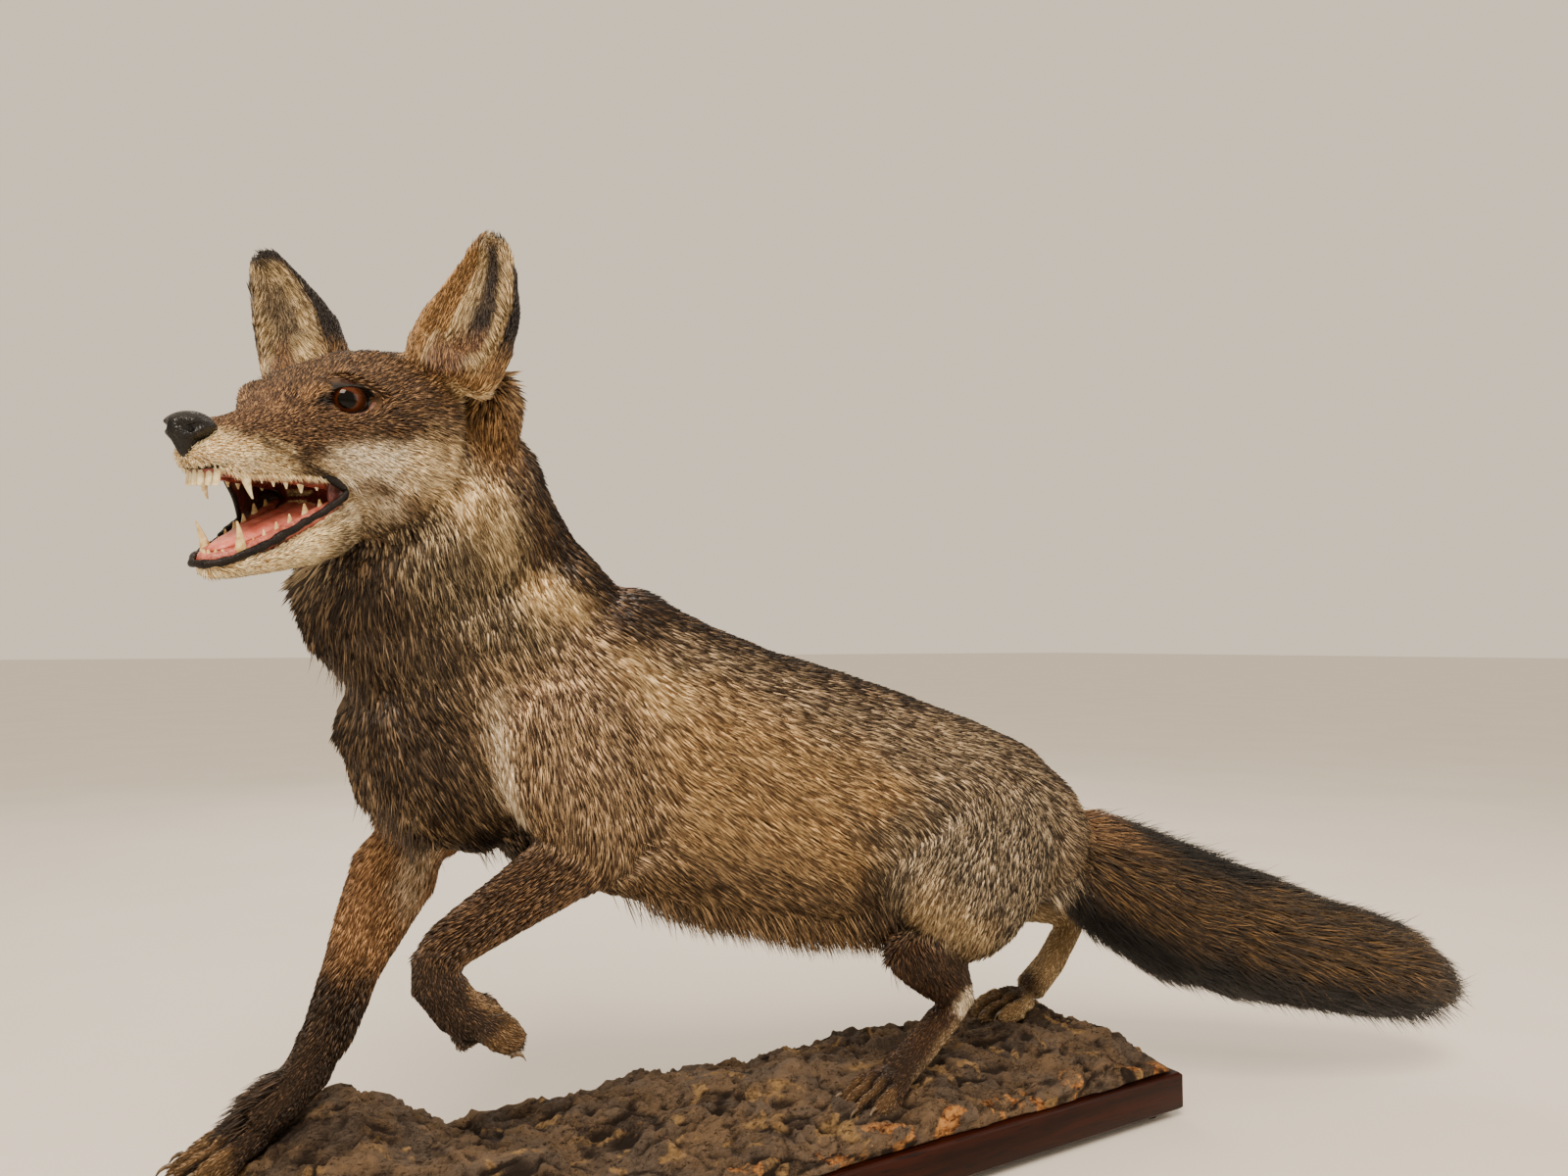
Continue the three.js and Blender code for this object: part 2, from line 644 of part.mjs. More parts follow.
const trunkClear = trunkShape(gap);
const upperNames = { fore: 'upper_arm', hind: 'thigh' };
const lowerNames = { fore: 'forearm', hind: 'shank' };
const endNames = { fore: 'paw', hind: 'foot' };
const limbPieces = [];
const ends = [];
for (const [name, limb] of Object.entries(limbs)) {
  const [pair, side] = name.split('_');
  const shape = limbShapes(limb, 0);
  const clear = limbShapes(limb, gap);
  const matrix = pawMatrix(limb.paw);
  addMesh(fox, `${upperNames[pair]}_${side}`, cutAway(shape.upper, trunkClear), 'back');
  addMesh(fox, `${lowerNames[pair]}_${side}`, cutAway(shape.lower, clear.upper, trunkClear), 'limb');
  const end = cutAway(shape.end, clear.lower, clear.upper, trunkClear);
  addMesh(fox, `${endNames[pair]}_${side}`, end, 'limb');
  toeRows.forEach((row, i) => {
    const horn = placed(clawGeometry(row, 0), matrix).subtract(clear.end);
    addMesh(fox, `claw_${pair}_${side}_${i + 1}`, horn, 'horn');
    ends.push(placed(clawGeometry(row, -gap), matrix));
  });
  limbPieces.push(clear.upper, clear.lower);
  ends.push(clear.end);
}

const tailWhole = loft(tailStations, { around: 12, rows: 12 });
const tailFree = cutAway(tailWhole, trunkClear, ...limbPieces);
const [tailBase, tailRest] = parted(tailFree, tailCuts[0].at, tailCuts[0].normal);
const [tailMiddle, tailTip] = parted(tailRest, tailCuts[1].at, tailCuts[1].normal);
addMesh(fox, 'tail_base', tailBase, 'brush');
addMesh(fox, 'tail_middle', tailMiddle, 'brush');
addMesh(fox, 'tail_tip', tailTip, 'brush');

addMesh(fox, 'bark', cutAway(barkSlab(), ...ends), 'cork');

// The middle of the bounding box's underside is the origin.
fox.updateMatrixWorld(true);
const whole = new THREE.Group();
const extent = new THREE.Box3().setFromObject(fox, true);
fox.position.set(-(extent.min.x + extent.max.x) / 2, -(extent.min.y + extent.max.y) / 2, -extent.min.z);
whole.add(fox);

export default whole;
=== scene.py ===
import math

import bpy
import numpy as np
from mathutils import Euler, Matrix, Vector, noise
from mathutils.bvhtree import BVHTree
from mathutils.kdtree import KDTree


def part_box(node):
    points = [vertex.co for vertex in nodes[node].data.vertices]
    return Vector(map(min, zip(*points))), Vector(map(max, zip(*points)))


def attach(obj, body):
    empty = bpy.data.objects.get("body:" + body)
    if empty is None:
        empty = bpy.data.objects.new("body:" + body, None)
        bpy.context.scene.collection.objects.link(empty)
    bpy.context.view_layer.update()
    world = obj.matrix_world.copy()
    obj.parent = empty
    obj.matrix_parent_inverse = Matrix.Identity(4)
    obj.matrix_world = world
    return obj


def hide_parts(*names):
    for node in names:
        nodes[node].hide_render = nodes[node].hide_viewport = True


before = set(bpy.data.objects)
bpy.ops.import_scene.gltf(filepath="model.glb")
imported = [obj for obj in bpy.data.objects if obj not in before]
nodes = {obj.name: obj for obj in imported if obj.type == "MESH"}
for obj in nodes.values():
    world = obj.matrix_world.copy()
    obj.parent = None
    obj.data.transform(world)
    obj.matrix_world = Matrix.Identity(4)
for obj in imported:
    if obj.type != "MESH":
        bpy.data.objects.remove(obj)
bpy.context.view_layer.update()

# The animal is drawn in millimetres about its own origin, and its head about the middle of its eyes, with
# f ahead, l out to its left and u up.
boardCorner = (-0.459, -0.080, 0.022)
modelOrigin = np.array(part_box("plinth_board")[0]) - np.array(boardCorner)
headSeat = {"at": (-293, -85, 546), "turns": (2, -6, 43)}
headTurn = np.array(Euler([math.radians(turn) for turn in headSeat["turns"]], "XYZ").to_matrix())
faceSigns = np.array((-1, -1, 1))


def place(points):
    return np.asarray(points, float) / 1000 + modelOrigin


def facePlace(points):
    return (np.asarray(points, float) * faceSigns) @ headTurn.T / 1000 + place(headSeat["at"])


def faceOf(spots):
    return ((np.asarray(spots) - place(headSeat["at"])) @ headTurn) * 1000 * faceSigns


def ease(low, high, value):
    t = np.clip((value - low) / (high - low), 0, 1)
    return t * t * (3 - 2 * t)


def unit(vectors):
    return vectors / np.maximum(np.linalg.norm(vectors, axis=-1, keepdims=True), 1e-9)


def linear(code):
    parts = np.array([int(code[i:i + 2], 16) / 255 for i in (0, 2, 4)])
    return np.where(parts < 0.04045, parts / 12.92, ((parts + 0.055) / 1.055) ** 2.4)


def rgba(code):
    return (*linear(code), 1.0)


def wave(spots, scale, seed=0.0):
    # smooth noise at each spot, always the same for a seed
    shift = Vector((seed, seed * 0.7, -seed))
    return np.array([noise.noise(Vector(spot) * scale + shift) for spot in spots])


def pickOnly(obj):
    # nothing else may be selected, since an operator acts on all that is
    bpy.ops.object.select_all(action="DESELECT")
    obj.select_set(True)
    bpy.context.view_layer.objects.active = obj


def editWhole(obj, mergeWithin=None, faceOut=False):
    # the whole mesh in edit mode: doubles are merged and faces turned outward, when the arguments ask for it
    pickOnly(obj)
    bpy.ops.object.mode_set(mode="EDIT")
    bpy.ops.mesh.select_all(action="SELECT")
    if mergeWithin:
        bpy.ops.mesh.remove_doubles(threshold=mergeWithin)
    if faceOut:
        bpy.ops.mesh.normals_make_consistent(inside=False)
    bpy.ops.object.mode_set(mode="OBJECT")


def applyModifier(obj, name, kind, **values):
    pickOnly(obj)
    modifier = obj.modifiers.new(name, kind)
    for key, value in values.items():
        setattr(modifier, key, value)
    bpy.ops.object.modifier_apply(modifier=modifier.name)


def nodeCopy(name, newName):
    # a CAD node's loose triangles, copied and merged into one mesh
    obj = objectFrom(newName, nodes[name].data.copy())
    editWhole(obj, mergeWithin=0.00002)
    return obj


def spotsOf(obj):
    spots = np.empty(len(obj.data.vertices) * 3, np.float32)
    obj.data.vertices.foreach_get("co", spots)
    return spots.reshape(-1, 3).astype(float)


def moveTo(obj, spots):
    obj.data.vertices.foreach_set("co", np.asarray(spots, np.float32).ravel())
    obj.data.update()


def normalsOf(obj):
    normals = np.empty(len(obj.data.vertices) * 3, np.float32)
    obj.data.vertices.foreach_get("normal", normals)
    return normals.reshape(-1, 3).astype(float)


def objectFrom(name, mesh):
    obj = bpy.data.objects.new(name, mesh)
    bpy.context.collection.objects.link(obj)
    return obj


def meshFrom(name, spots, faces):
    mesh = bpy.data.meshes.new(name)
    mesh.from_pydata([tuple(spot) for spot in spots], [], [tuple(face) for face in faces])
    mesh.update()
    return objectFrom(name, mesh)


def finishPiece(obj, material, slot, *stoodFor):
    # material and body of a finished piece, and the CAD nodes that it takes the place of
    obj.data.materials.clear()
    obj.data.materials.append(material)
    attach(obj, "root")
    if stoodFor:
        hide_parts(*stoodFor)
    return obj


def smoothOver(obj, degrees=60):
    pickOnly(obj)
    bpy.ops.object.shade_smooth_by_angle(angle=math.radians(degrees))


def ringLoft(name, rings, capped=True):
    # rings of the same number of points, joined into one closed shape
    rings = np.asarray(rings)
    count, around = rings.shape[:2]
    spots = list(rings.reshape(-1, 3))
    faces = []
    for i in range(count - 1):
        for j in range(around):
            k = (j + 1) % around
            faces.append((i * around + j, i * around + k, (i + 1) * around + k, (i + 1) * around + j))
    if capped:
        for ring, flip in ((0, True), (count - 1, False)):
            spots.append(rings[ring].mean(axis=0))
            hub = len(spots) - 1
            for j in range(around):
                pair = (ring * around + j, ring * around + (j + 1) % around)
                faces.append((hub, pair[1], pair[0]) if flip else (hub, *pair))
    obj = meshFrom(name, spots, faces)
    editWhole(obj, faceOut=True)
    return obj


class Wire:
    # a socket in a material, with the sums and nodes that start from it
    def __init__(self, socket):
        self.socket = socket
        self.tree = socket.id_data

    def make(self, kind, settings=None, sockets=None, out=0):
        # a node of a kind, with its settings and then the values or links of its sockets
        node = self.tree.nodes.new(kind)
        for key, value in (settings or {}).items():
            setattr(node, key, value)
        for key, value in (sockets or {}).items():
            if isinstance(value, Wire):
                self.tree.links.new(value.socket, node.inputs[key])
            else:
                node.inputs[key].default_value = value
        return Wire(node.outputs[out])

    def maths(self, operation, first, second):
        return self.make("ShaderNodeMath", {"operation": operation}, {0: first, 1: second})

    def __add__(self, other):
        return self.maths("ADD", self, other)

    __radd__ = __add__

    def __sub__(self, other):
        return self.maths("SUBTRACT", self, other)

    def __rsub__(self, other):
        return self.maths("SUBTRACT", other, self)

    def __mul__(self, other):
        return self.maths("MULTIPLY", self, other)

    __rmul__ = __mul__

    def step(self, low, high):
        return self.make("ShaderNodeMapRange", {"interpolation_type": "SMOOTHSTEP"},
                         {0: self, 1: low, 2: high, 3: 0.0, 4: 1.0})

    def mix(self, first, second):
        return self.make("ShaderNodeMix", {"data_type": "RGBA"}, {0: self, 6: first, 7: second}, 2)

    def tint(self, colour):
        return self.make("ShaderNodeMix", {"data_type": "RGBA", "blend_type": "MULTIPLY"},
                         {0: 1.0, 6: self, 7: colour}, 2)

    def reading(self, name, out=0):
        return self.make("ShaderNodeAttribute", {"attribute_name": name}, None, out)

    def stretched(self, scale):
        return self.make("ShaderNodeMapping", None, {"Vector": self, "Scale": scale})

    def noise(self, scale, detail=4.0, rough=0.55, warp=0.0):
        return self.make("ShaderNodeTexNoise", None, {"Vector": self, "Scale": scale, "Detail": detail,
                                                      "Roughness": rough, "Distortion": warp})

    def feed(self, shader, socket):
        self.tree.links.new(self.socket, shader.inputs[socket])


def newMaterial(name, rough, shine):
    material = bpy.data.materials.new(name)
    material.use_nodes = True
    shader = material.node_tree.nodes["Principled BSDF"]
    shader.inputs["Roughness"].default_value = rough
    shader.inputs["Specular IOR Level"].default_value = shine
    spot = Wire(material.node_tree.nodes.new("ShaderNodeTexCoord").outputs["Object"])
    return material, spot, shader


def bumpFrom(height, strength, distance):
    return height.make("ShaderNodeBump", None, {"Strength": strength, "Distance": distance, "Height": height})


view = {"at": (-0.4901, -0.6945, 0.4040), "turns": (92.79, 0, -31.0), "lens": 25.425, "sensor": 36.0}
room = {"floor": ("e0dbd2", "e6e1d9"), "air": "ecdac2", "strength": 1.2}
lamps = {
    "key": {"at": (-0.9, -1.3, 1.9), "size": 0.9, "watts": 72, "colour": "ffecd8"},
    "side": {"at": (1.7, -1.2, 1.3), "size": 1.4, "watts": 16, "colour": "fff0e2"},
    "rear": {"at": (0.5, 1.9, 1.5), "size": 1.4, "watts": 18, "colour": "f4f1ee"},
}
lampAim = (-0.05, 0.0, 0.3)


def setStage():
    turns = [math.radians(turn) for turn in view["turns"]]
    bpy.ops.object.camera_add(location=view["at"], rotation=turns)
    camera = bpy.context.object
    camera.data.lens = view["lens"]
    camera.data.sensor_width = view["sensor"]
    camera.data.clip_start = 0.01
    bpy.context.scene.camera = camera
    bpy.ops.mesh.primitive_plane_add(size=60, location=(0, 0, 0))
    floor = bpy.context.object
    floor.name = "floor"
    material, spot, shader = newMaterial("pale_floor", 0.85, 0.2)
    first, second = room["floor"]
    spot.noise(3.0).step(0.2, 0.8).mix(rgba(first), rgba(second)).feed(shader, "Base Color")
    floor.data.materials.append(material)
    world = bpy.data.worlds.new("soft_room")
    bpy.context.scene.world = world
    world.use_nodes = True
    air = world.node_tree.nodes["Background"]
    air.inputs["Color"].default_value = rgba(room["air"])
    air.inputs["Strength"].default_value = room["strength"]
    for name, lamp in lamps.items():
        aim = (Vector(lampAim) - Vector(lamp["at"])).to_track_quat("-Z", "Y")
        bpy.ops.object.light_add(type="AREA", location=lamp["at"], rotation=aim.to_euler())
        light = bpy.context.object
        light.name = name
        light.data.size = lamp["size"]
        light.data.energy = lamp["watts"]
        light.data.color = tuple(linear(lamp["colour"]))


setStage()
print("stage is set")

# Each node of flesh: depth of its coat, length and width of its tufts in millimetres, how far they stray
# from the lie of the coat in radians, how thickly they stand, and the pelt that it starts with.
hideParts = {
    "head": {"depth": 3.0, "long": 9, "wide": 0.95, "spread": 0.22, "crowd": 1.0, "pelt": "brow"},
    "lower_jaw": {"depth": 1.6, "long": 6, "wide": 0.8, "spread": 0.2, "crowd": 1.0, "pelt": "buff"},
    "ear_left": {"depth": 0.8, "long": 6, "wide": 0.7, "spread": 0.15, "crowd": 1.3, "pelt": "earBack"},
    "ear_right": {"depth": 0.8, "long": 6, "wide": 0.7, "spread": 0.15, "crowd": 1.3, "pelt": "earBack"},
    "neck": {"depth": 9, "long": 22, "wide": 1.5, "spread": 0.3, "crowd": 1.0, "pelt": "ruff"},
    "chest": {"depth": 8, "long": 20, "wide": 1.5, "spread": 0.25, "crowd": 1.0, "pelt": "shoulder"},
    "loin": {"depth": 8, "long": 22, "wide": 1.5, "spread": 0.22, "crowd": 1.0, "pelt": "grizzle"},
    "rump": {"depth": 8, "long": 20, "wide": 1.5, "spread": 0.22, "crowd": 1.0, "pelt": "grizzle"},
    "upper_arm_left": {"depth": 6, "long": 17, "wide": 1.4, "spread": 0.22, "crowd": 1.0, "pelt": "shoulder"},
    "upper_arm_right": {"depth": 5, "long": 15, "wide": 1.3, "spread": 0.25, "crowd": 1.0, "pelt": "rust"},
    "forearm_left": {"depth": 2.6, "long": 9, "wide": 0.9, "spread": 0.22, "crowd": 1.0, "pelt": "armBrown"},
    "forearm_right": {"depth": 2.8, "long": 10, "wide": 1.0, "spread": 0.22, "crowd": 1.0, "pelt": "rust"},
    "paw_left": {"depth": 0.9, "long": 4.6, "wide": 0.8, "spread": 0.2, "crowd": 1.6, "pelt": "darkLeg"},
    "paw_right": {"depth": 0.9, "long": 4.6, "wide": 0.8, "spread": 0.2, "crowd": 1.6, "pelt": "darkLeg"},
    "thigh_left": {"depth": 6.5, "long": 16, "wide": 1.4, "spread": 0.28, "crowd": 1.0, "pelt": "haunch"},
    "thigh_right": {"depth": 6.5, "long": 16, "wide": 1.4, "spread": 0.28, "crowd": 1.0, "pelt": "haunch"},
    "shank_left": {"depth": 3.5, "long": 11, "wide": 1.1, "spread": 0.25, "crowd": 1.0, "pelt": "brownLeg"},
    "shank_right": {"depth": 3.5, "long": 11, "wide": 1.1, "spread": 0.25, "crowd": 1.0, "pelt": "paleLeg"},
    "foot_left": {"depth": 0.9, "long": 4.8, "wide": 0.8, "spread": 0.18, "crowd": 1.6, "pelt": "brownLeg"},
    "foot_right": {"depth": 0.9, "long": 4.8, "wide": 0.8, "spread": 0.18, "crowd": 1.6, "pelt": "paleLeg"},
    "tail_base": {"depth": 13, "long": 34, "wide": 1.9, "spread": 0.3, "crowd": 0.9, "pelt": "brush"},
    "tail_middle": {"depth": 17, "long": 42, "wide": 2.0, "spread": 0.32, "crowd": 0.9, "pelt": "brush"},
    "tail_tip": {"depth": 13.5, "long": 33, "wide": 2.0, "spread": 0.34, "crowd": 0.9, "pelt": "brush"},
}
partNames = list(hideParts)
measures = ("depth", "long", "wide", "spread", "crowd")

bodyPaths = {  # the way that the coat lies, from front to rear or from the top of a limb down
    "neck": [(-222, -44, 590), (-205, -22, 540), (-185, 5, 470), (-160, 15, 400), (-140, 15, 330)],
    "chest": [(-195, 5, 470), (-150, 14, 400), (-79, 15, 352), (20, 11, 312)],
    "loin": [(-40, 13, 336), (52, 10, 309), (123, 8, 293), (199, 5, 275)],
    "rump": [(150, 7, 288), (263, 3, 258), (340, 0, 230), (380, -10, 215)],
    "upper_arm_left": [(-132, -34, 420), (-120, -40, 345), (-92, -38, 285)],
    "upper_arm_right": [(-128, 62, 420), (-160, 68, 345), (-198, 74, 272)],
    "forearm_left": [(-76, -36, 285), (-118, -36, 276), (-160, -37, 254), (-210, -37, 226)],
    "forearm_right": [(-190, 74, 292), (-216, 71, 242), (-235, 65, 202), (-256, 56, 150)],
    "paw_left": [(-207, -37, 236), (-205, -36, 214), (-174, -27, 176), (-150, -23, 165)],
    "paw_right": [(-250, 58, 170), (-262, 55, 142), (-300, 49, 113), (-345, 44, 103)],
    "thigh_left": [(262, -30, 320), (226, -42, 262), (188, -48, 224), (162, -48, 180)],
    "thigh_right": [(262, 36, 320), (262, 46, 262), (262, 52, 220), (268, 54, 190)],
    "shank_left": [(158, -46, 206), (174, -38, 174), (203, -26, 146), (222, -18, 128)],
    "shank_right": [(262, 54, 200), (315, 56, 186), (372, 56, 172), (424, 54, 156)],
    "foot_left": [(226, -18, 142), (206, -21, 122), (166, -27, 98), (100, -35, 72)],
    "foot_right": [(426, 54, 166), (412, 52, 146), (382, 48, 116), (346, 46, 92), (300, 48, 90)],
    "tail_base": [(318, -2, 262), (362, -8, 232), (430, -36, 187), (495, -66, 161)],
    "tail_middle": [(430, -36, 187), (495, -66, 161), (562, -97, 140), (625, -126, 121)],
    "tail_tip": [(562, -97, 140), (625, -126, 121), (700, -160, 92)],
}
facePaths = {  # the same, in the axes of the head
    "head": [(92, 0, -18), (50, 0, -14), (10, 0, -4), (-60, 0, -4), (-110, 0, -14)],
    "lower_jaw": [(80, 0, -84), (30, 0, -78), (-30, 0, -60)],
    "ear_left": [(-63, 42, 8), (-69, 55, 40), (-71, 67, 64), (-65, 80, 106)],
    "ear_right": [(-63, -42, 8), (-69, -55, 40), (-71, -67, 64), (-65, -80, 106)],
}
combReach = 0.02  # how far a length of path is felt
combPaths = {name: place(path) for name, path in bodyPaths.items()}
combPaths.update({name: facePlace(path) for name, path in facePaths.items()})


def among(owners, *names):
    return np.isin(owners, [partNames.index(name) for name in names])


def nearPath(spots, path):
    # for each spot: how far along the path it lies, and the way that the path goes there
    steps = path[1:] - path[:-1]
    lengths = np.linalg.norm(steps, axis=1)
    starts = np.concatenate(([0], np.cumsum(lengths)))
    best = np.full(len(spots), np.inf)
    along = np.zeros(len(spots))
    pull = np.zeros((len(spots), 3))
    total = np.zeros(len(spots))
    for number, step in enumerate(steps):
        t = np.clip((spots - path[number]) @ step / lengths[number] ** 2, 0, 1)
        gap = np.linalg.norm(spots - path[number] - t[:, None] * step, axis=1)
        nearer = gap < best
        best = np.where(nearer, gap, best)
        along = np.where(nearer, starts[number] + t * lengths[number], along)
        weight = np.exp(-(gap / combReach) ** 2 * 0.5) + 1e-9 / (gap ** 2 + 1e-6)
        pull += weight[:, None] * step / lengths[number]
        total += weight
    return along / starts[-1], unit(pull / total[:, None])


skinForm = {  # size of the remesh, extra thickness that closes joints, rounds of smoothing, and triangles
    "voxel": 0.0023, "fatten": 0.0005, "rounds": 9, "plainRounds": 26, "fineRounds": 4, "lastRounds": 2,
    "triangles": 150000,
}
# where the toes spring from, the way that they point, the back of the paw, how much thicker the paw
# is made, and how tan the toes are
pawFrames = {
    "paw_left": {"at": (-183, -29, 189), "ahead": (0.62, 0.15, -0.77), "dorsal": (-0.77, 0.0, -0.62),
                 "thick": 0.34, "tan": 0.5},
    "paw_right": {"at": (-300, 49, 110), "ahead": (-0.97, -0.1, -0.2), "dorsal": (-0.2, 0.0, 0.98),
                  "thick": 0.12, "tan": 0.6},
    "foot_left": {"at": (136, -32, 84), "ahead": (-0.97, -0.14, -0.18), "dorsal": (-0.18, 0.0, 0.98),
                  "thick": 0.0, "tan": 0.4},
    "foot_right": {"at": (338, 46, 92), "ahead": (-0.99, 0.06, -0.05), "dorsal": (-0.05, 0.0, 1.0),
                   "thick": 0.0, "tan": 0.5},
}


def joinedFlesh():
    copies = []
    for name in partNames:
        obj = nodeCopy(name, "flesh_" + name)
        moveTo(obj, spotsOf(obj) + normalsOf(obj) * skinForm["fatten"])
        copies.append(obj)
    bpy.ops.object.select_all(action="DESELECT")
    for obj in copies:
        obj.select_set(True)
    bpy.context.view_layer.objects.active = copies[0]
    bpy.ops.object.join()
    return bpy.context.object


def edgesOf(obj):
    pairs = np.empty(len(obj.data.edges) * 2, np.int32)
    obj.data.edges.foreach_get("vertices", pairs)
    return pairs.reshape(-1, 2)


def relax(values, pairs, rounds, hold=None):
    # spreads values over the mesh, each round halfway to the mean of the neighbours
    count = len(values)
    values = values.reshape(count, -1).copy()
    first, second = pairs[:, 0], pairs[:, 1]
    around = np.maximum(np.bincount(first, minlength=count) + np.bincount(second, minlength=count), 1)
    for _ in range(rounds):
        for column in range(values.shape[1]):
            level = values[:, column]
            total = np.bincount(first, level[second], count) + np.bincount(second, level[first], count)
            moved = level + 0.5 * (total / around - level)
            values[:, column] = moved if hold is None else np.where(hold, level, moved)
    return values


def ownersOf(spots):
    # the node that is nearest to each spot, by its corners, edges and face centres
    labels, marks = [], []
    for number, name in enumerate(partNames):
        mesh = nodes[name].data
        corners = np.array([vertex.co for vertex in mesh.vertices])
        faces = np.array([face.vertices[:3] for face in mesh.polygons])
        edges = [(corners[faces[:, i]] + corners[faces[:, i - 1]]) / 2 for i in range(3)]
        sampled = np.concatenate([corners, corners[faces].mean(axis=1)] + edges)
        marks.append(sampled)
        labels += [number] * len(sampled)
    tree = KDTree(len(labels))
    for number, mark in enumerate(np.concatenate(marks)):
        tree.insert(Vector(mark), number)
    tree.balance()
    labels = np.array(labels)
    return labels[[tree.find(Vector(spot))[1] for spot in spots]]


mouthForm = {  # the gap between the jaws: half width, and height of the lower lip, from back to front
    "wideAt": (-12, -2, 10, 50, 70, 82), "wide": (12, 19, 21, 16, 12, 6),
    "lipAt": (0, 30, 60, 80), "lip": (-50, -66, -79, -84),
}


def mouthInside(spots, normals):
    # the lining of the open mouth: between the lips, facing the gap
    f, l, u = faceOf(spots).T
    lean = normals @ (headTurn @ np.array((0, 0, 1)))
    wide = np.interp(f, mouthForm["wideAt"], mouthForm["wide"]) - 1.2
    lowLip = np.interp(f, mouthForm["lipAt"], mouthForm["lip"])
    inside = (np.abs(l) < wide) & (f > -30) & (f < 84)
    roof = inside & (np.abs(l) < wide - 1.5) & (f < 75) & (lean < -0.5) & (u < -33) & (u > -60)
    floor = inside & (lean > 0.1) & (u < -40) & (u > lowLip - 14)
    back = (f > -26) & (f < 3) & (np.abs(l) < 21.5) & (u < -40) & (u > -60)
    ahead = normals @ (headTurn @ np.array((-1, 0, 0)))
    return roof | floor | (back & (ahead > 0.25))


def buildSkin():
    skin = joinedFlesh()
    skin.name = "hide"
    skin.data.name = "hide"
    applyModifier(skin, "one_skin", "REMESH", mode="VOXEL", voxel_size=skinForm["voxel"])
    print("skin remeshed to", len(skin.data.polygons), "faces")
    spots = spotsOf(skin)
    pairs = edgesOf(skin)
    owners = ownersOf(spots)
    fine = among(owners, "lower_jaw", "ear_left", "ear_right", *pawFrames)
    fine |= among(owners, "head") & (faceOf(spots)[:, 0] > -58)
    soft = relax(spots, pairs, skinForm["rounds"])
    softer = relax(soft, pairs, skinForm["plainRounds"], hold=fine)
    gentle = relax(spots, pairs, skinForm["fineRounds"])
    moved = np.where(fine[:, None], gentle, softer)
    moveTo(skin, relax(moved, pairs, skinForm["lastRounds"]))
    # the body needs fewer faces than the head and the feet
    group = skin.vertex_groups.new(name="plain")
    group.add([int(i) for i in np.nonzero(~fine)[0]], 1.0, "REPLACE")
    triangles = sum(len(face.vertices) - 2 for face in skin.data.polygons)
    applyModifier(skin, "fewer", "DECIMATE", vertex_group="plain", vertex_group_factor=1.0,
                  ratio=skinForm["triangles"] / triangles, use_collapse_triangulate=True)
    skin.vertex_groups.clear()
    print("skin thinned to", len(skin.data.polygons), "faces")
    return skin


# each pelt: the dark of a hair, its pale band, and the share of tufts that show the band
pelts = {
    "brow": ("422f20", "8a6c4c", 0.38),
    "muzzle": ("4f3625", "9a7855", 0.38),
    "buff": ("e8c286", "fff1c8", 0.74),
    "cream": ("e8cda2", "fff7e2", 0.8),
    "ruff": ("413328", "bba987", 0.4),
    "cheek": ("aa8d62", "f2ddb0", 0.6),
    "throat": ("392d23", "897359", 0.3),
    "napeGold": ("68482a", "ac8656", 0.42),
    "shoulder": ("553d2c", "ceb38c", 0.48),
    "spine": ("22160f", "685038", 0.22),
    "grizzle": ("49382a", "c9b391", 0.46),
    "gold": ("7d5d3b", "ddbb84", 0.52),
    "belly": ("4e3b28", "a48863", 0.4),
    "haunch": ("41372e", "c0af92", 0.42),
    "rust": ("876342", "c0986b", 0.4),
    "darkLeg": ("31261d", "5e4936", 0.24),
    "armBrown": ("432f20", "8a6b4a", 0.42),
    "brownLeg": ("362519", "664c34", 0.3),
    "paleLeg": ("a68a62", "dcc59a", 0.4),
    "tan": ("7b5f3d", "b3946a", 0.42),
    "brush": ("2f2214", "6f5634", 0.36),
    "brushDark": ("070503", "18110b", 0.16),
    "earBack": ("765833", "ae8a5a", 0.45),
    "earRim": ("17110e", "2b211b", 0.1),
    "earInner": ("7a633f", "c3b088", 0.5),
    "earHollow": ("1f1813", "483d34", 0.25),
    "paleGold": ("b48f5e", "ffe6b2", 0.68),
    "mouth": ("4a1a16", "662a24", 0.2),
}
trunkMiddle = 10  # the body's middle plane

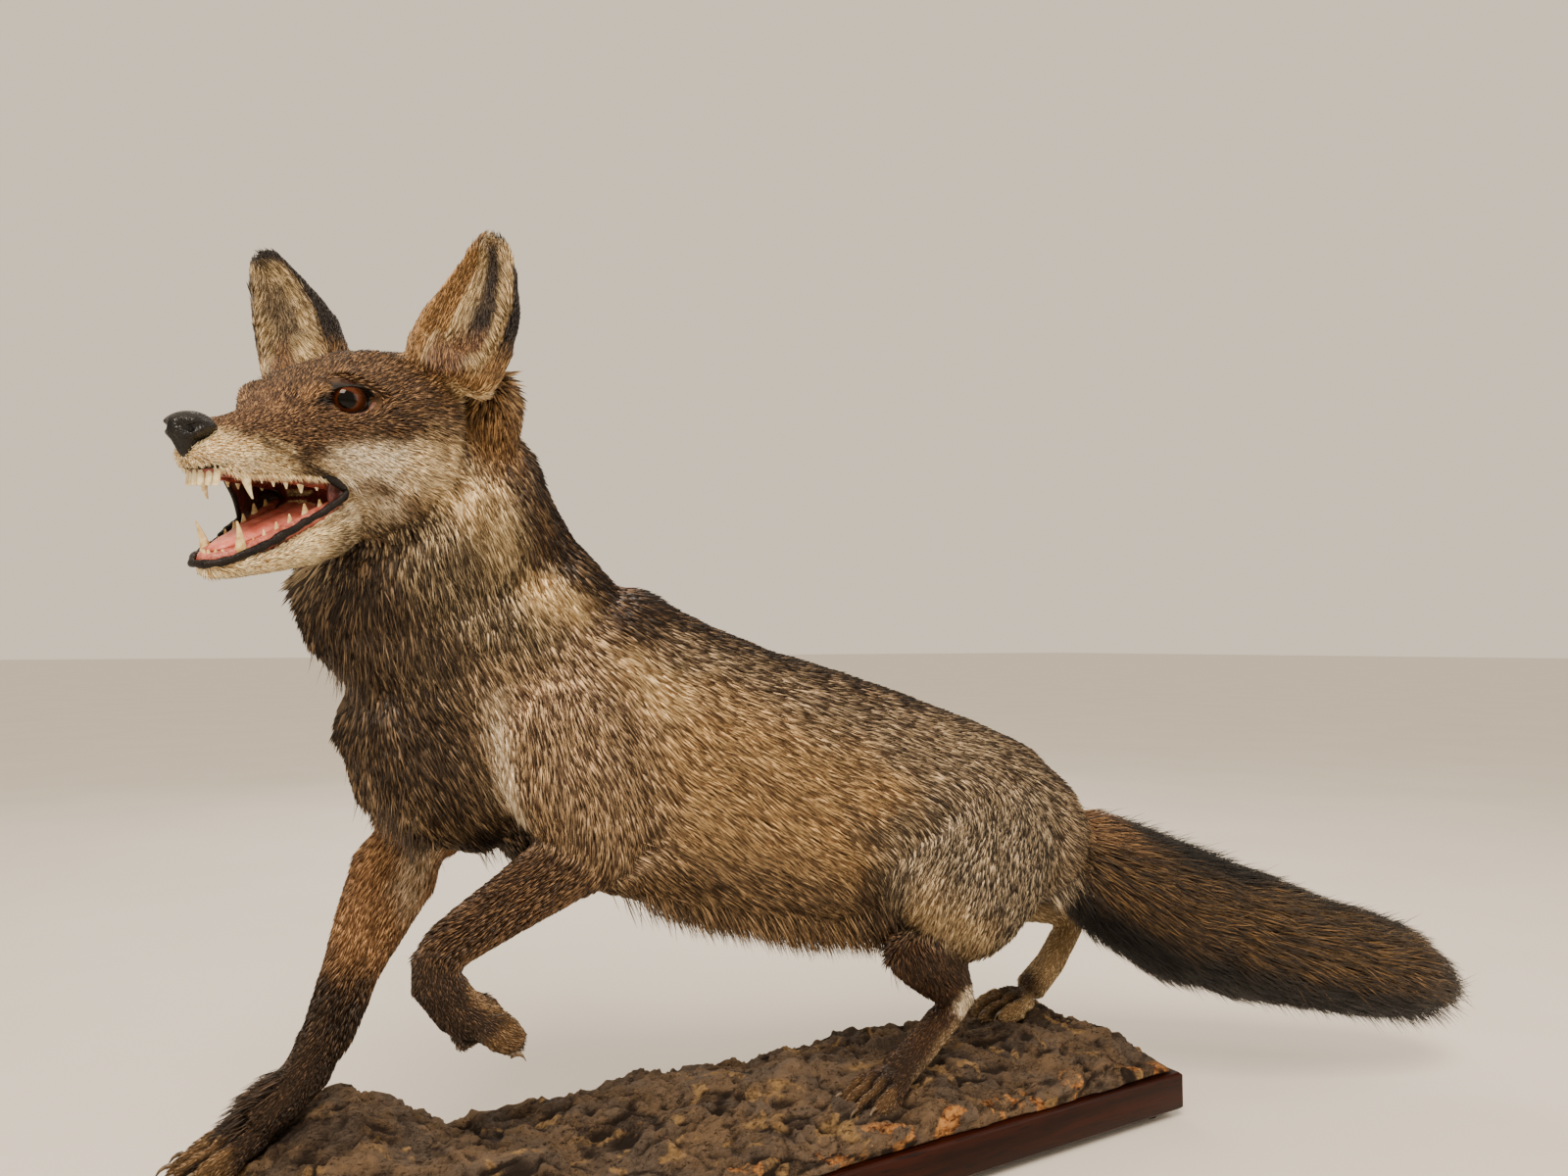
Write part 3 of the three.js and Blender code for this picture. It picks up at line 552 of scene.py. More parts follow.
bodyStrokes = [  # pelt, from, to, reach, softness and strength; painted on both sides
    ("spine", (-150, 15, 510), (-60, 14, 470), 30, 30, 0.8),
    ("spine", (-60, 14, 455), (120, 10, 405), 56, 34, 0.95),
    ("spine", (120, 10, 405), (300, 3, 320), 30, 36, 0.9),
    ("grizzle", (-40, -55, 400), (150, -52, 340), 34, 30, 0.9),
    ("gold", (-35, -60, 350), (90, -58, 290), 36, 34, 0.85),
    ("gold", (-28, -55, 290), (60, -50, 265), 22, 28, 0.7),
    ("gold", (118, -62, 292), (140, -66, 252), 16, 20, 0.9),
    ("belly", (-60, -20, 232), (140, -18, 205), 40, 26, 0.85),
    ("throat", (90, 5, 205), (150, 5, 200), 26, 26, 0.6),
    ("haunch", (215, -72, 300), (180, -76, 230), 60, 30, 0.9),
    ("grizzle", (150, -50, 345), (230, -45, 330), 26, 30, 0.7),
    ("throat", (-262, -45, 470), (-236, -15, 380), 44, 26, 1.0),
    ("throat", (-214, -30, 440), (-200, -28, 330), 24, 18, 1.0),
    ("throat", (-190, 14, 330), (-150, 14, 288), 34, 20, 0.95),
    ("ruff", (-214, -74, 470), (-185, -62, 440), 20, 20, 0.8),
    ("ruff", (-226, -50, 420), (-214, -48, 400), 14, 16, 0.4),
    ("paleGold", (-152, -50, 458), (-128, -42, 458), 13, 11, 1.0),
    ("napeGold", (-150, -50, 520), (-136, -46, 490), 10, 12, 0.6),
    ("ruff", (-178, -58, 448), (-150, -54, 430), 12, 14, 0.7),
    ("shoulder", (-182, -54, 392), (-164, -54, 320), 18, 14, 0.6),
    ("cream", (-180, -46, 392), (-163, -42, 322), 5, 9, 0.7),
    ("shoulder", (-120, -70, 380), (-104, -70, 300), 36, 24, 0.7),
    ("paleGold", (-90, -48, 408), (-64, -52, 388), 12, 14, 0.7),
    ("gold", (96, -58, 314), (122, -58, 304), 12, 12, 0.8),
    ("haunch", (120, -58, 280), (146, -48, 226), 20, 14, 0.8),
    # painted light: the lower thigh is painted paler where the lamps leave it dark
    ("paleGold", (152, -68, 224), (200, -62, 198), 15, 16, 0.5),
    ("spine", (-168, -8, 540), (-124, -4, 480), 34, 16, 0.85),
    ("brownLeg", (-170, -54, 546), (-158, -52, 500), 11, 12, 0.6),
    # painted shadow: a thin dark line along the pressed crease between the flank and the thigh
    ("throat", (74, -58, 298), (98, -52, 254), 4.5, 6, 0.85),
    ("throat", (98, -52, 254), (124, -34, 212), 6.0, 8, 0.95),
    ("gold", (60, -56, 290), (84, -50, 258), 9, 10, 0.8),
    # painted shadow: a thin dark line along the pressed crease at the shoulder and elbow
    ("throat", (-82, -54, 352), (-72, -50, 300), 2.0, 5, 0.45),
    ("throat", (-72, -50, 300), (-92, -52, 272), 3.0, 6, 0.6),
]
limbStrokes = [  # the same, on one side only
    ("darkLeg", (-118, -36, 300), (-200, -37, 252), 20, 14, 0.5),
    ("tan", (-178, -36, 206), (-160, -30, 184), 9, 8, 0.8),
    ("darkLeg", (-200, -34, 190), (-184, -26, 166), 9, 8, 0.8),
    ("darkLeg", (-232, 66, 320), (-274, 55, 220), 14, 9, 0.9),
    ("darkLeg", (-252, 58, 176), (-300, 49, 110), 30, 24, 1.0),
    ("cream", (-184, 44, 300), (-196, 50, 250), 12, 12, 0.5),
    ("cream", (208, -36, 138), (214, -32, 130), 9, 7, 0.95),
    ("paleLeg", (206, -38, 112), (160, -46, 84), 7, 8, 0.5),
    ("tan", (196, -14, 112), (150, -20, 84), 8, 8, 0.7),
    ("darkLeg", (152, -42, 100), (116, -42, 84), 9, 8, 0.85),
    ("darkLeg", (346, 44, 108), (312, 44, 98), 14, 10, 0.9),
    ("brush", (330, -20, 226), (372, -36, 205), 36, 30, 0.5),
    ("rust", (340, -10, 268), (400, -22, 240), 22, 16, 0.7),
    ("brushDark", (396, -36, 254), (462, -74, 226), 15, 12, 0.9),
    ("brushDark", (440, -50, 240), (620, -130, 176), 13, 12, 0.9),
    ("brushDark", (330, -14, 190), (372, -30, 166), 19, 12, 0.95),
    ("brushDark", (366, -34, 160), (460, -84, 118), 26, 13, 1.0),
    ("brushDark", (460, -84, 116), (590, -138, 88), 28, 14, 1.0),
    ("brushDark", (590, -130, 92), (690, -160, 82), 20, 14, 1.0),
    ("brushDark", (672, -160, 120), (720, -172, 92), 22, 16, 0.9),
]
faceStrokes = [  # the same, on both sides and in the axes of the head
    ("muzzle", (70, 0, -10), (30, 0, -2), 12, 8, 0.85),
    ("muzzle", (40, 12, -14), (10, 26, -12), 9, 8, 0.7),
    ("muzzle", (40, 14, -22), (2, 32, -20), 5, 6, 0.75),
    ("cream", (8, 31, -31), (-30, 46, -32), 10, 7, 1.0),
    ("cream", (-30, 46, -33), (-56, 56, -38), 10, 12, 0.85),
    ("cheek", (-50, 55, -36), (-86, 56, -52), 20, 18, 0.8),
    ("buff", (72, 8, -30), (40, 18, -34), 9, 5, 1.0),
    ("cream", (74, 8, -36), (60, 14, -38), 5, 5, 0.4),
    ("cheek", (26, 24, -36), (8, 30, -40), 6, 5, 0.6),
    ("darkLeg", (52, 17.5, -23), (35, 21.5, -30), 1.5, 1.8, 0.85),
    ("darkLeg", (35, 21.5, -30), (14, 24, -38), 2.0, 2.0, 0.85),
    ("darkLeg", (52, 17, -27.5), (20, 23.5, -40), 1.0, 1.4, 0.75),
    ("darkLeg", (24, 27, -24), (10, 31, -31), 1.6, 2.6, 0.5),
    ("buff", (70, 6, -88), (20, 14, -86), 16, 10, 0.9),
    ("cream", (-4, 30, -56), (-24, 34, -58), 10, 9, 0.7),
    ("ruff", (-10, 20, -78), (-60, 44, -72), 16, 14, 0.9),
    ("napeGold", (-98, 52, 6), (-108, 44, -20), 18, 14, 0.9),
    ("rust", (17, 24, 4), (22, 20, 2), 3.0, 3, 0.55),
    ("earRim", (12, 27, 0.5), (17.5, 24.5, -1.2), 2.3, 1.6, 1.0),
    ("buff", (-68, 52, 16), (-74, 62, 6), 9, 8, 0.8),
    ("earBack", (-80, 50, 30), (-96, 44, 8), 20, 14, 0.8),
    ("darkLeg", (24, 22, -12), (14, 28, -14), 3, 4, 0.3),
]


def peltLevels(name):
    dark, band, tick = pelts[name]
    return np.concatenate((linear(dark), linear(band), (tick,)))


def dye(levels, pelt, share):
    levels += share[:, None] * (peltLevels(pelt) - levels)


def paint(levels, spots, strokes, mirrored=None):
    # a ragged edge is given to every stroke, and a stroke lies on both sides where a mirror is given
    roughness = wave(spots, 0.05, 3.0) * 0.55 + wave(spots, 0.16, 7.0) * 0.3
    looks = [spots] if mirrored is None else [spots, mirrored(spots)]
    for pelt, start, end, reach, softness, strength in strokes:
        start, end = np.array(start, float), np.array(end, float)
        step = end - start
        gaps = []
        for look in looks:
            t = np.clip((look - start) @ step / max(step @ step, 1e-6), 0, 1)
            gaps.append(np.linalg.norm(look - start - t[:, None] * step, axis=1))
        gap = np.min(gaps, axis=0) + roughness * softness
        dye(levels, pelt, (1 - ease(reach - softness / 2, reach + softness, gap)) * strength)


toeForm = {"gaps": (-11.5, 0.0, 11.5), "middles": (-17, -6, 6, 17), "half": 5.75, "swell": 2.1}


def pawAxes(name, drawn):
    # reach along the toes, distance aside and height above the middle of the paw
    form = pawFrames[name]
    ahead, dorsal = unit(np.array(form["ahead"])), unit(np.array(form["dorsal"]))
    rel = drawn - form["at"]
    return rel @ ahead, rel @ unit(np.cross(ahead, dorsal)), rel @ dorsal


def paintToes(levels, drawn, parts):
    for name, form in pawFrames.items():
        mine = among(parts, name)
        reach, aside, _ = pawAxes(name, drawn[mine])
        gap = np.abs(aside[:, None] - np.array(toeForm["gaps"])).min(axis=1)
        paw = levels[mine]
        dye(paw, "tan", ease(6, 14, reach) * ease(1.6, 3.6, gap) * form["tan"])
        dye(paw, "brushDark", ease(0, 7, reach) * ease(3.0, 1.0, gap) * 0.75)
        levels[mine] = paw


def flipBody(spots):
    # across the middle plane, in millimetres
    return spots * (1, -1, 1) + (0, 2 * trunkMiddle, 0)


def flipFace(spots):
    return spots * (1, -1, 1)


def markings(spots, parts, pairs):
    # at each spot of the skin: dark colour, band colour and share of banded tufts
    table = np.array([peltLevels(part["pelt"]) for part in hideParts.values()])
    levels = relax(table[parts], pairs, 40)
    drawn = (spots - modelOrigin) * 1000
    outer = ("upper_arm", "forearm", "paw", "shank", "foot", "tail")
    limbs = [name for name in partNames if name.startswith(outer)]
    onLimbs, onHead = among(parts, *limbs), among(parts, *facePaths)
    for region, marks, strokes, mirrored in (
        (~(onLimbs | onHead) | among(parts, "upper_arm_left"), drawn, bodyStrokes, flipBody),
        (onLimbs, drawn, limbStrokes, None),
        (onHead | among(parts, "neck"), faceOf(spots), faceStrokes, flipFace),
    ):
        painted = levels[region]
        paint(painted, marks[region], strokes, mirrored)
        levels[region] = painted
    paintToes(levels, drawn, parts)
    return levels


earForm = {  # at rising heights: the middle line of the opening and half its width
    "heights": (16, 40, 64, 86, 102), "middle": (45, 55, 67, 75, 79), "half": (26, 28, 23, 15, 7),
}
ears = {  # the turn of the opening, its inner edge, width of its hollow, and where the black tip starts
    "ear_left": {"side": 1, "turn": 17, "edge": -0.5, "hollow": 0.42, "tip": 90, "tipInside": 0.25},
    "ear_right": {"side": -1, "turn": 28, "edge": -1.05, "hollow": 0.5, "tip": 87, "tipInside": 1.0},
}


def acrossEar(side, l, u):
    # where a spot lies across the opening, from -1 at its inner edge to 1 at its outer edge
    middle = np.interp(u, earForm["heights"], earForm["middle"])
    half = np.interp(u, earForm["heights"], earForm["half"])
    return (side * l - middle) / half


def earMarkings(levels, spots, parts, inner):
    face = faceOf(spots)
    _, l, u = face.T
    ragged = wave(face, 0.12, 5.0) * 0.2
    for name, ear in ears.items():
        mine = among(parts, name)
        inside = mine & inner
        outside = ~inside
        across = acrossEar(ear["side"], l, u)
        hollow = np.exp(-((across - 0.26 + ragged) / ear["hollow"]) ** 4) * ease(104, 88, u)
        back = ease(-0.5, 0.0, across)
        edge = 0.0
        if name == "ear_right":  # its hollow fades upward, its back is all black, and so is its inner rim
            hollow = hollow * 0.72 * ease(96, 68, u)
            back = 1.0
            edge = ease(0.78, 0.9, across) * ease(56, 72, u)
        rim = outside * ease(0.72, 0.88, across) * ease(20, 44, u)
        tip = ease(ear["tip"], 95, u) * ear["tipInside"]
        dye(levels, "earInner", inside * 1.0)
        dye(levels, "earHollow", inside * hollow)
        dye(levels, "muzzle", inside * ease(0.6, 0.3, np.abs(across - 0.2)) * ease(50, 36, u) * 0.9)
        dye(levels, "earRim", mine * np.maximum.reduce([rim, outside * back * ease(28, 50, u), tip]))
        dye(levels, "earRim", inside * edge)
    return levels


def innerEar(spots, normals, parts):
    # the side of each ear that faces its opening, between the two edges
    _, l, u = faceOf(spots).T
    inner = np.zeros(len(spots), bool)
    for name, ear in ears.items():
        angle = math.radians(ear["turn"])
        opening = headTurn @ (np.array((math.cos(angle), math.sin(angle), 0)) * faceSigns)
        across = acrossEar(ear["side"], l, u)
        between = (across > ear["edge"] + 0.14 * ease(62, 40, u)) & (across < 0.93)
        inner |= among(parts, name) & (normals @ opening > 0.12) & between & (u > 20)
    return inner


skin = buildSkin()
spots = spotsOf(skin)
normals = normalsOf(skin)
pairs = edgesOf(skin)
faces = np.empty(len(skin.data.polygons) * 3, np.int32)
skin.data.polygons.foreach_get("vertices", faces)
faces = faces.reshape(-1, 3)
parts = ownersOf(spots)
mouth = mouthInside(spots, normals)
inner = innerEar(spots, normals, parts)
levels = markings(spots, parts, pairs)
levels = earMarkings(levels, spots, parts, inner)
levels[mouth] = peltLevels("mouth")
print("markings painted")

headCoat = {  # from the back of the head to the nose, at distances ahead of the eyes
    "at": (-90, -50, -20, 20, 60, 80),
    "depth": (7, 5, 2.6, 1.6, 1.2, 0.8),
    "long": (16, 11.5, 6.8, 4.8, 3.6, 3.2),
    "wide": (1.3, 1.1, 0.8, 0.66, 0.56, 0.5),
    "crowd": (0.8, 0.9, 1.2, 1.6, 2.0, 2.2),
}
liningCoat = {  # hair inside the ears, from the inner edge of the opening to the outer
    "at": (-0.9, -0.4, 0.1, 0.5, 0.8), "depth": (1.2, 2, 0.8, 0.8, 1.5), "long": (13, 13, 6, 6, 8),
    "wide": 0.9, "spread": 0.14,
    "crowdAt": (-0.9, -0.3, 0.1, 0.5, 0.8), "crowd": (2.2, 1.6, 0.7, 0.7, 1.4),
    "lieAt": (-0.9, 0.1, 0.8), "ahead": 0.12, "outward": (0.75, 0.25, -0.5), "upward": (0.75, 0.9, 0.9),
}
cheekRuff = {"at": (-106, 54, -2), "size": (26, 26, 30), "shorter": 0.55, "thinner": 0.35}
fall = {"trunk": 0.28, "cheeks": 0.25}  # how much the hair also hangs
bareDepth = {"mouth": 0.0003, "ear": 0.0006}
skinShare = 0.82  # how far down its own depth the coat's skin lies

# how the coat lies, and how deep it is
lie = np.zeros_like(spots)
for number, name in enumerate(partNames):
    mine = parts == number
    lie[mine] = nearPath(spots[mine], combPaths[name])[1]
settings = np.array([[part[measure] for measure in measures] for part in hideParts.values()])[parts]
lie[among(parts, "neck", "chest", "loin", "rump")] += (0, 0, -fall["trunk"])
face = faceOf(spots)
f, l, u = face.T
isHead = among(parts, "head")
for measure in ("depth", "long", "wide", "crowd"):
    settings[isHead, measures.index(measure)] = np.interp(f[isHead], headCoat["at"], headCoat[measure])
lie[isHead & (u < -10)] += headTurn @ np.array((0, 0, -fall["cheeks"]))
settings[among(parts, "lower_jaw"), measures.index("crowd")] = 1.7
lie = unit(relax(lie, pairs, 60))
settings = relax(settings, pairs, 26)
lobe = np.exp(-(np.linalg.norm((face - cheekRuff["at"]) / cheekRuff["size"], axis=1)) ** 4)
settings[:, :2] *= (1 - cheekRuff["shorter"] * lobe)[:, None]
settings[:, 2] *= 1 - cheekRuff["thinner"] * lobe
for name, ear in ears.items():
    mine = inner & among(parts, name)
    where = acrossEar(ear["side"], l[mine], u[mine])
    sweep = np.stack((np.full(len(where), liningCoat["ahead"]),
                      ear["side"] * np.interp(where, liningCoat["lieAt"], liningCoat["outward"]),
                      np.interp(where, liningCoat["lieAt"], liningCoat["upward"])), axis=1)
    lie[mine] = unit((sweep * faceSigns) @ headTurn.T)
    settings[mine, 0] = np.interp(where, liningCoat["at"], liningCoat["depth"])
    settings[mine, 1] = np.interp(where, liningCoat["at"], liningCoat["long"]) * ease(112, 74, u[mine])
    settings[mine, 2] = liningCoat["wide"]
    settings[mine, 3] = liningCoat["spread"]
    settings[mine, 4] = np.interp(where, liningCoat["crowdAt"], liningCoat["crowd"])
depth = settings[:, 0] / 1000
depth[mouth] = bareDepth["mouth"]
depth = np.where(inner, bareDepth["ear"], depth)
moveTo(skin, spots - normals * depth[:, None] * skinShare)
spots = spotsOf(skin)
normals = normalsOf(skin)

# Brows, cheeks, eye sockets and folds are pressed into the skin: middle, reach, and how far outward.
faceMoves = [  # in the axes of the head, on both sides
    ((79, 8, -32), 8, 5.0), ((84, 3, -31), 7, 3.0), ((70, 13, -35), 7, 1.5), ((60, 15, -36), 7, 1.0),
    ((-100, 56, 4), 20, 2.5), ((-116, 54, -22), 22, 3.0), ((0, 27, 13), 9, 4.2), ((12, 23, 5), 8, 5.0),
    ((-18, 34, 8), 8, 1.5), ((4, 28, -8), 8, 1.5), ((0, 38, -14), 12, -0.8), ((-22, 47, -2), 13, 1.0),
    ((58, 14, -30), 9, 1.0), ((24, 0, 2), 10, -0.8), ((3, 31, -47), 5, -1.5), ((-8, 34, -47), 6, 1.2),
    ((20, 25, -20), 8, -0.8),
]
bodyMoves = [  # the same, in the axes of the body
    ((122, -58, 276), 22, 4.5), ((142, -50, 236), 20, 5.5), ((70, -58, 298), 8, -2.0),
    ((86, -56, 272), 8, -3.0), ((102, -50, 246), 8, -3.0), ((116, -40, 224), 9, -3.0),
    ((-80, -54, 340), 7, -1.5), ((-74, -50, 312), 7, -2.0), ((-80, -50, 286), 7, -2.5),
    ((-110, -62, 330), 26, 2.5),
]
eyeForm = {  # the ball, the two corners of the lids, how high and low they open, and where it looks
    "radius": 12.0, "middle": (-6, 22, 2.5), "front": (13, 27, 0), "rear": (-15.5, 32.6, 3.8),
    "top": 7.6, "bottom": 6.6, "gaze": (0.7, 0.71, -0.03),
}


def pressBody(spots, normals):
    drawn = (spots - modelOrigin) * 1000
    moved = spots.copy()
    for middle, reach, out in bodyMoves:
        for look in (drawn, flipBody(drawn)):
            gap = np.linalg.norm(look - np.array(middle), axis=1)
            moved += (np.exp(-(gap / reach) ** 2) * out / 1000)[:, None] * normals
    for name, form in pawFrames.items():
        mine = among(parts, name)
        reach, aside, height = pawAxes(name, drawn[mine])
        nearest = np.abs(aside[:, None] - np.array(toeForm["middles"])).min(axis=1)
        ridge = np.cos(np.clip(nearest, 0, toeForm["half"]) * math.pi / toeForm["half"])
        swell = ridge * toeForm["swell"] * ease(2, 9, reach)
        thicker = np.outer(height * form["thick"] * ease(3, 12, reach), unit(np.array(form["dorsal"])))
        moved[mine] += (swell[:, None] * normals[mine] + thicker) / 1000
    return moved


def eyeFrame(side):
    flip = np.array((1, side, 1))
    front = np.array(eyeForm["front"], float) * flip
    rear = np.array(eyeForm["rear"], float) * flip
    middle = np.array(eyeForm["middle"], float) * flip
    across = unit(rear - front)
    above = unit(np.array((0, 0, 1)) - across * across[2])
    out = np.cross(across, above)
    out = out * np.sign(out[1] * side)
    centre = (front + rear) / 2
    return centre, across, above, out, middle, np.linalg.norm(rear - front) / 2


def pressFace(spots, normals):
    face = faceOf(spots)
    moved = spots.copy()
    near = among(parts, "head", "lower_jaw", "neck") & ~mouth
    for middle, reach, out in faceMoves:
        for side in ((1, -1) if middle[1] else (1,)):
            gap = np.linalg.norm(face - np.array(middle) * (1, side, 1), axis=1)
            moved += (near * np.exp(-(gap / reach) ** 2) * out / 1000)[:, None] * normals
    face = faceOf(moved)
    for side in (1, -1):
        centre, across, above, out, middle, half = eyeFrame(side)
        gap = face - centre
        a, b, c = gap @ across, gap @ above, gap @ out
        ring = np.hypot(a / (half + 0.5), b / 9.0)
        press = (1 - ease(0.82, 1.12, ring)) * (c > -12)
        seat = (middle - centre) @ out - 1.0
        goal = c + press * (seat - c)
        face = np.where((press > 0)[:, None], face + (goal - c)[:, None] * out, face)
    return facePlace(face), face


spots, face = pressFace(pressBody(spots, normals), normals)
moveTo(skin, spots)
normals = normalsOf(skin)
smoothOver(skin, 180)
bare = mouth | (np.linalg.norm((face - (84, 0, -19.5)) / (10, 9.5, 8), axis=1) < 1.0)
for side in (1, -1):
    centre, across, above, out, _, half = eyeFrame(side)
    gap = face - centre
    socket = np.hypot(gap @ across / (half + 0.8), gap @ above / 8.4) < 1.0
    bare |= socket & (gap @ out > -14) & (np.abs(face[:, 1]) < 60)
print("skin shaped")


def addLevels(mesh, name, colours):
    solid = np.concatenate((colours, np.ones((len(colours), 1))), axis=1)
    layer = mesh.color_attributes.new(name, "FLOAT_COLOR", "POINT")
    layer.data.foreach_set("color", solid.astype(np.float32).ravel())


def unrolled(roots, owners):
    # the skin's own unwrap: each part is unrolled about its path, side by side
    lay = np.zeros((len(roots), 2))
    for number, name in enumerate(partNames):
        mine = owners == number
        if not mine.any():
            continue
        along, _ = nearPath(roots[mine], combPaths[name])
        path = combPaths[name]
        axis = unit(path[-1] - path[0])
        level = unit(np.cross(axis, (0.31, 0.95, 0.02)))
        other = np.cross(axis, level)
        knots = np.linspace(0, 1, len(path))
        centre = np.stack([np.interp(along, knots, path[:, k]) for k in range(3)], axis=1)
        gap = roots[mine] - centre
        turn = np.arctan2(gap @ other, gap @ level) / (2 * math.pi) + 0.5
        end = gap @ axis / 0.3
        lay[mine, 0] = (number + 0.03 + 0.94 * turn) / len(partNames)
        lay[mine, 1] = np.clip(0.06 + 0.86 * along + end, 0.01, 0.99)
    return lay


def flowOf(spots, owners):
    # how far round and how far along its part each spot lies, in metres, so that streaks follow the coat
    lay = unrolled(spots, owners)
    return np.stack((lay[:, 0] * len(partNames) * 0.2, lay[:, 1] * 0.3, np.zeros(len(spots))), axis=1)


def skinMaterial():
    material, spot, shader = newMaterial("underfur", 0.8, 0.15)
    grain = spot.reading("flow", 1).stretched((1.0, 0.16, 1.0)).noise(900.0, 3.0)
    shade = grain.step(0.3, 0.72).mix((0.45, 0.42, 0.4, 1.0), (1.35, 1.3, 1.24, 1.0))
    spot.reading("pelt").tint(shade).feed(shader, "Base Color")
    bumpFrom(grain, 0.6, 0.0015).feed(shader, "Normal")
    return material


def coatMaterial():
    material, spot, shader = newMaterial("fox_hair", 0.46, 0.45)
    fleck = spot.noise(160.0, 3.0).step(0.3, 0.75).mix((0.84, 0.82, 0.8, 1.0), (1.12, 1.1, 1.06, 1.0))
    spot.reading("pelt").tint(fleck).feed(shader, "Base Color")
    return material


layer = skin.data.attributes.new("flow", "FLOAT_VECTOR", "POINT")
layer.data.foreach_set("vector", flowOf(spots, parts).astype(np.float32).ravel())
mean = levels[:, :3] * (1 - levels[:, 6:7] * 0.6) + levels[:, 3:6] * levels[:, 6:7] * 0.6
# painted shade: the skin under the coat is a quarter darker than the mean of its tufts; bare skin and the
# insides of the ears keep the full colour
underShade = mean * np.where(bare | inner, 1.0, 0.75)[:, None]
addLevels(skin.data, "pelt", underShade)
finishPiece(skin, skinMaterial(), "body_fur", *partNames)
print("skin done")

# The coat is closed, tapered tufts that are rooted in the skin.
coatPieces = {
    "face_coat": {"parts": ("head", "lower_jaw"), "tufts": 46000, "slot": "face_fur"},
    "ear_coat": {"parts": ("ear_left", "ear_right"), "tufts": 11000, "slot": "ear_fur"},
    "ear_lining": {"parts": ("ear_left", "ear_right"), "tufts": 9000, "slot": "ear_fur", "lining": True},
    "neck_coat": {"parts": ("neck",), "tufts": 36000, "slot": "body_fur"},
    "shoulder_coat": {"parts": ("chest", "upper_arm_left"), "tufts": 44000, "slot": "body_fur"},
    "flank_coat": {"parts": ("loin",), "tufts": 37000, "slot": "body_fur"},
    "haunch_coat": {"parts": ("rump", "thigh_left"), "tufts": 44000, "slot": "body_fur"},
    "foreleg_coat": {"parts": ("upper_arm_right", "forearm_left", "forearm_right", "paw_left", "paw_right"),
                     "tufts": 30000, "slot": "limb_fur"},
    "hindleg_coat": {"parts": ("thigh_right", "shank_left", "shank_right", "foot_left", "foot_right"),
                     "tufts": 27000, "slot": "limb_fur"},
    "tail_base_coat": {"parts": ("tail_base",), "tufts": 10500, "slot": "tail_fur", "tuft": "long"},
    "tail_end_coat": {"parts": ("tail_middle", "tail_tip"), "tufts": 12000, "slot": "tail_fur",
                      "tuft": "long"},
}
tuftForms = {  # rings between root and tip: reach, height and size; corners of a ring; faces
    "blade": {
        "rings": ((0.42, 0.74, 1.0),),
        "corners": ((1.0, 0.0), (-1.0, 0.0)),
        "faces": ((0, 1, 2), (0, 2, 3), (0, 3, 1), (1, 3, 2)),
    },
    "long": {
        "rings": ((0.26, 0.5, 1.0), (0.64, 0.88, 0.72)),
        "corners": ((0.0, 1.0), (-0.87, -0.5), (0.87, -0.5)),
        "faces": ((0, 2, 1), (0, 3, 2), (0, 1, 3), (1, 2, 5), (1, 5, 4), (2, 3, 6), (2, 6, 5), (3, 1, 4),
                  (3, 4, 6), (7, 4, 5), (7, 5, 6), (7, 6, 4)),
    },
}
tuftMake = {  # root sunk and set back, in metres; spread of lightness; patch of the unwrap; first seed
    "sunk": 0.0008, "back": 0.0006, "tones": (0.62, 1.34), "patch": 0.003, "firstSeed": 11,
}


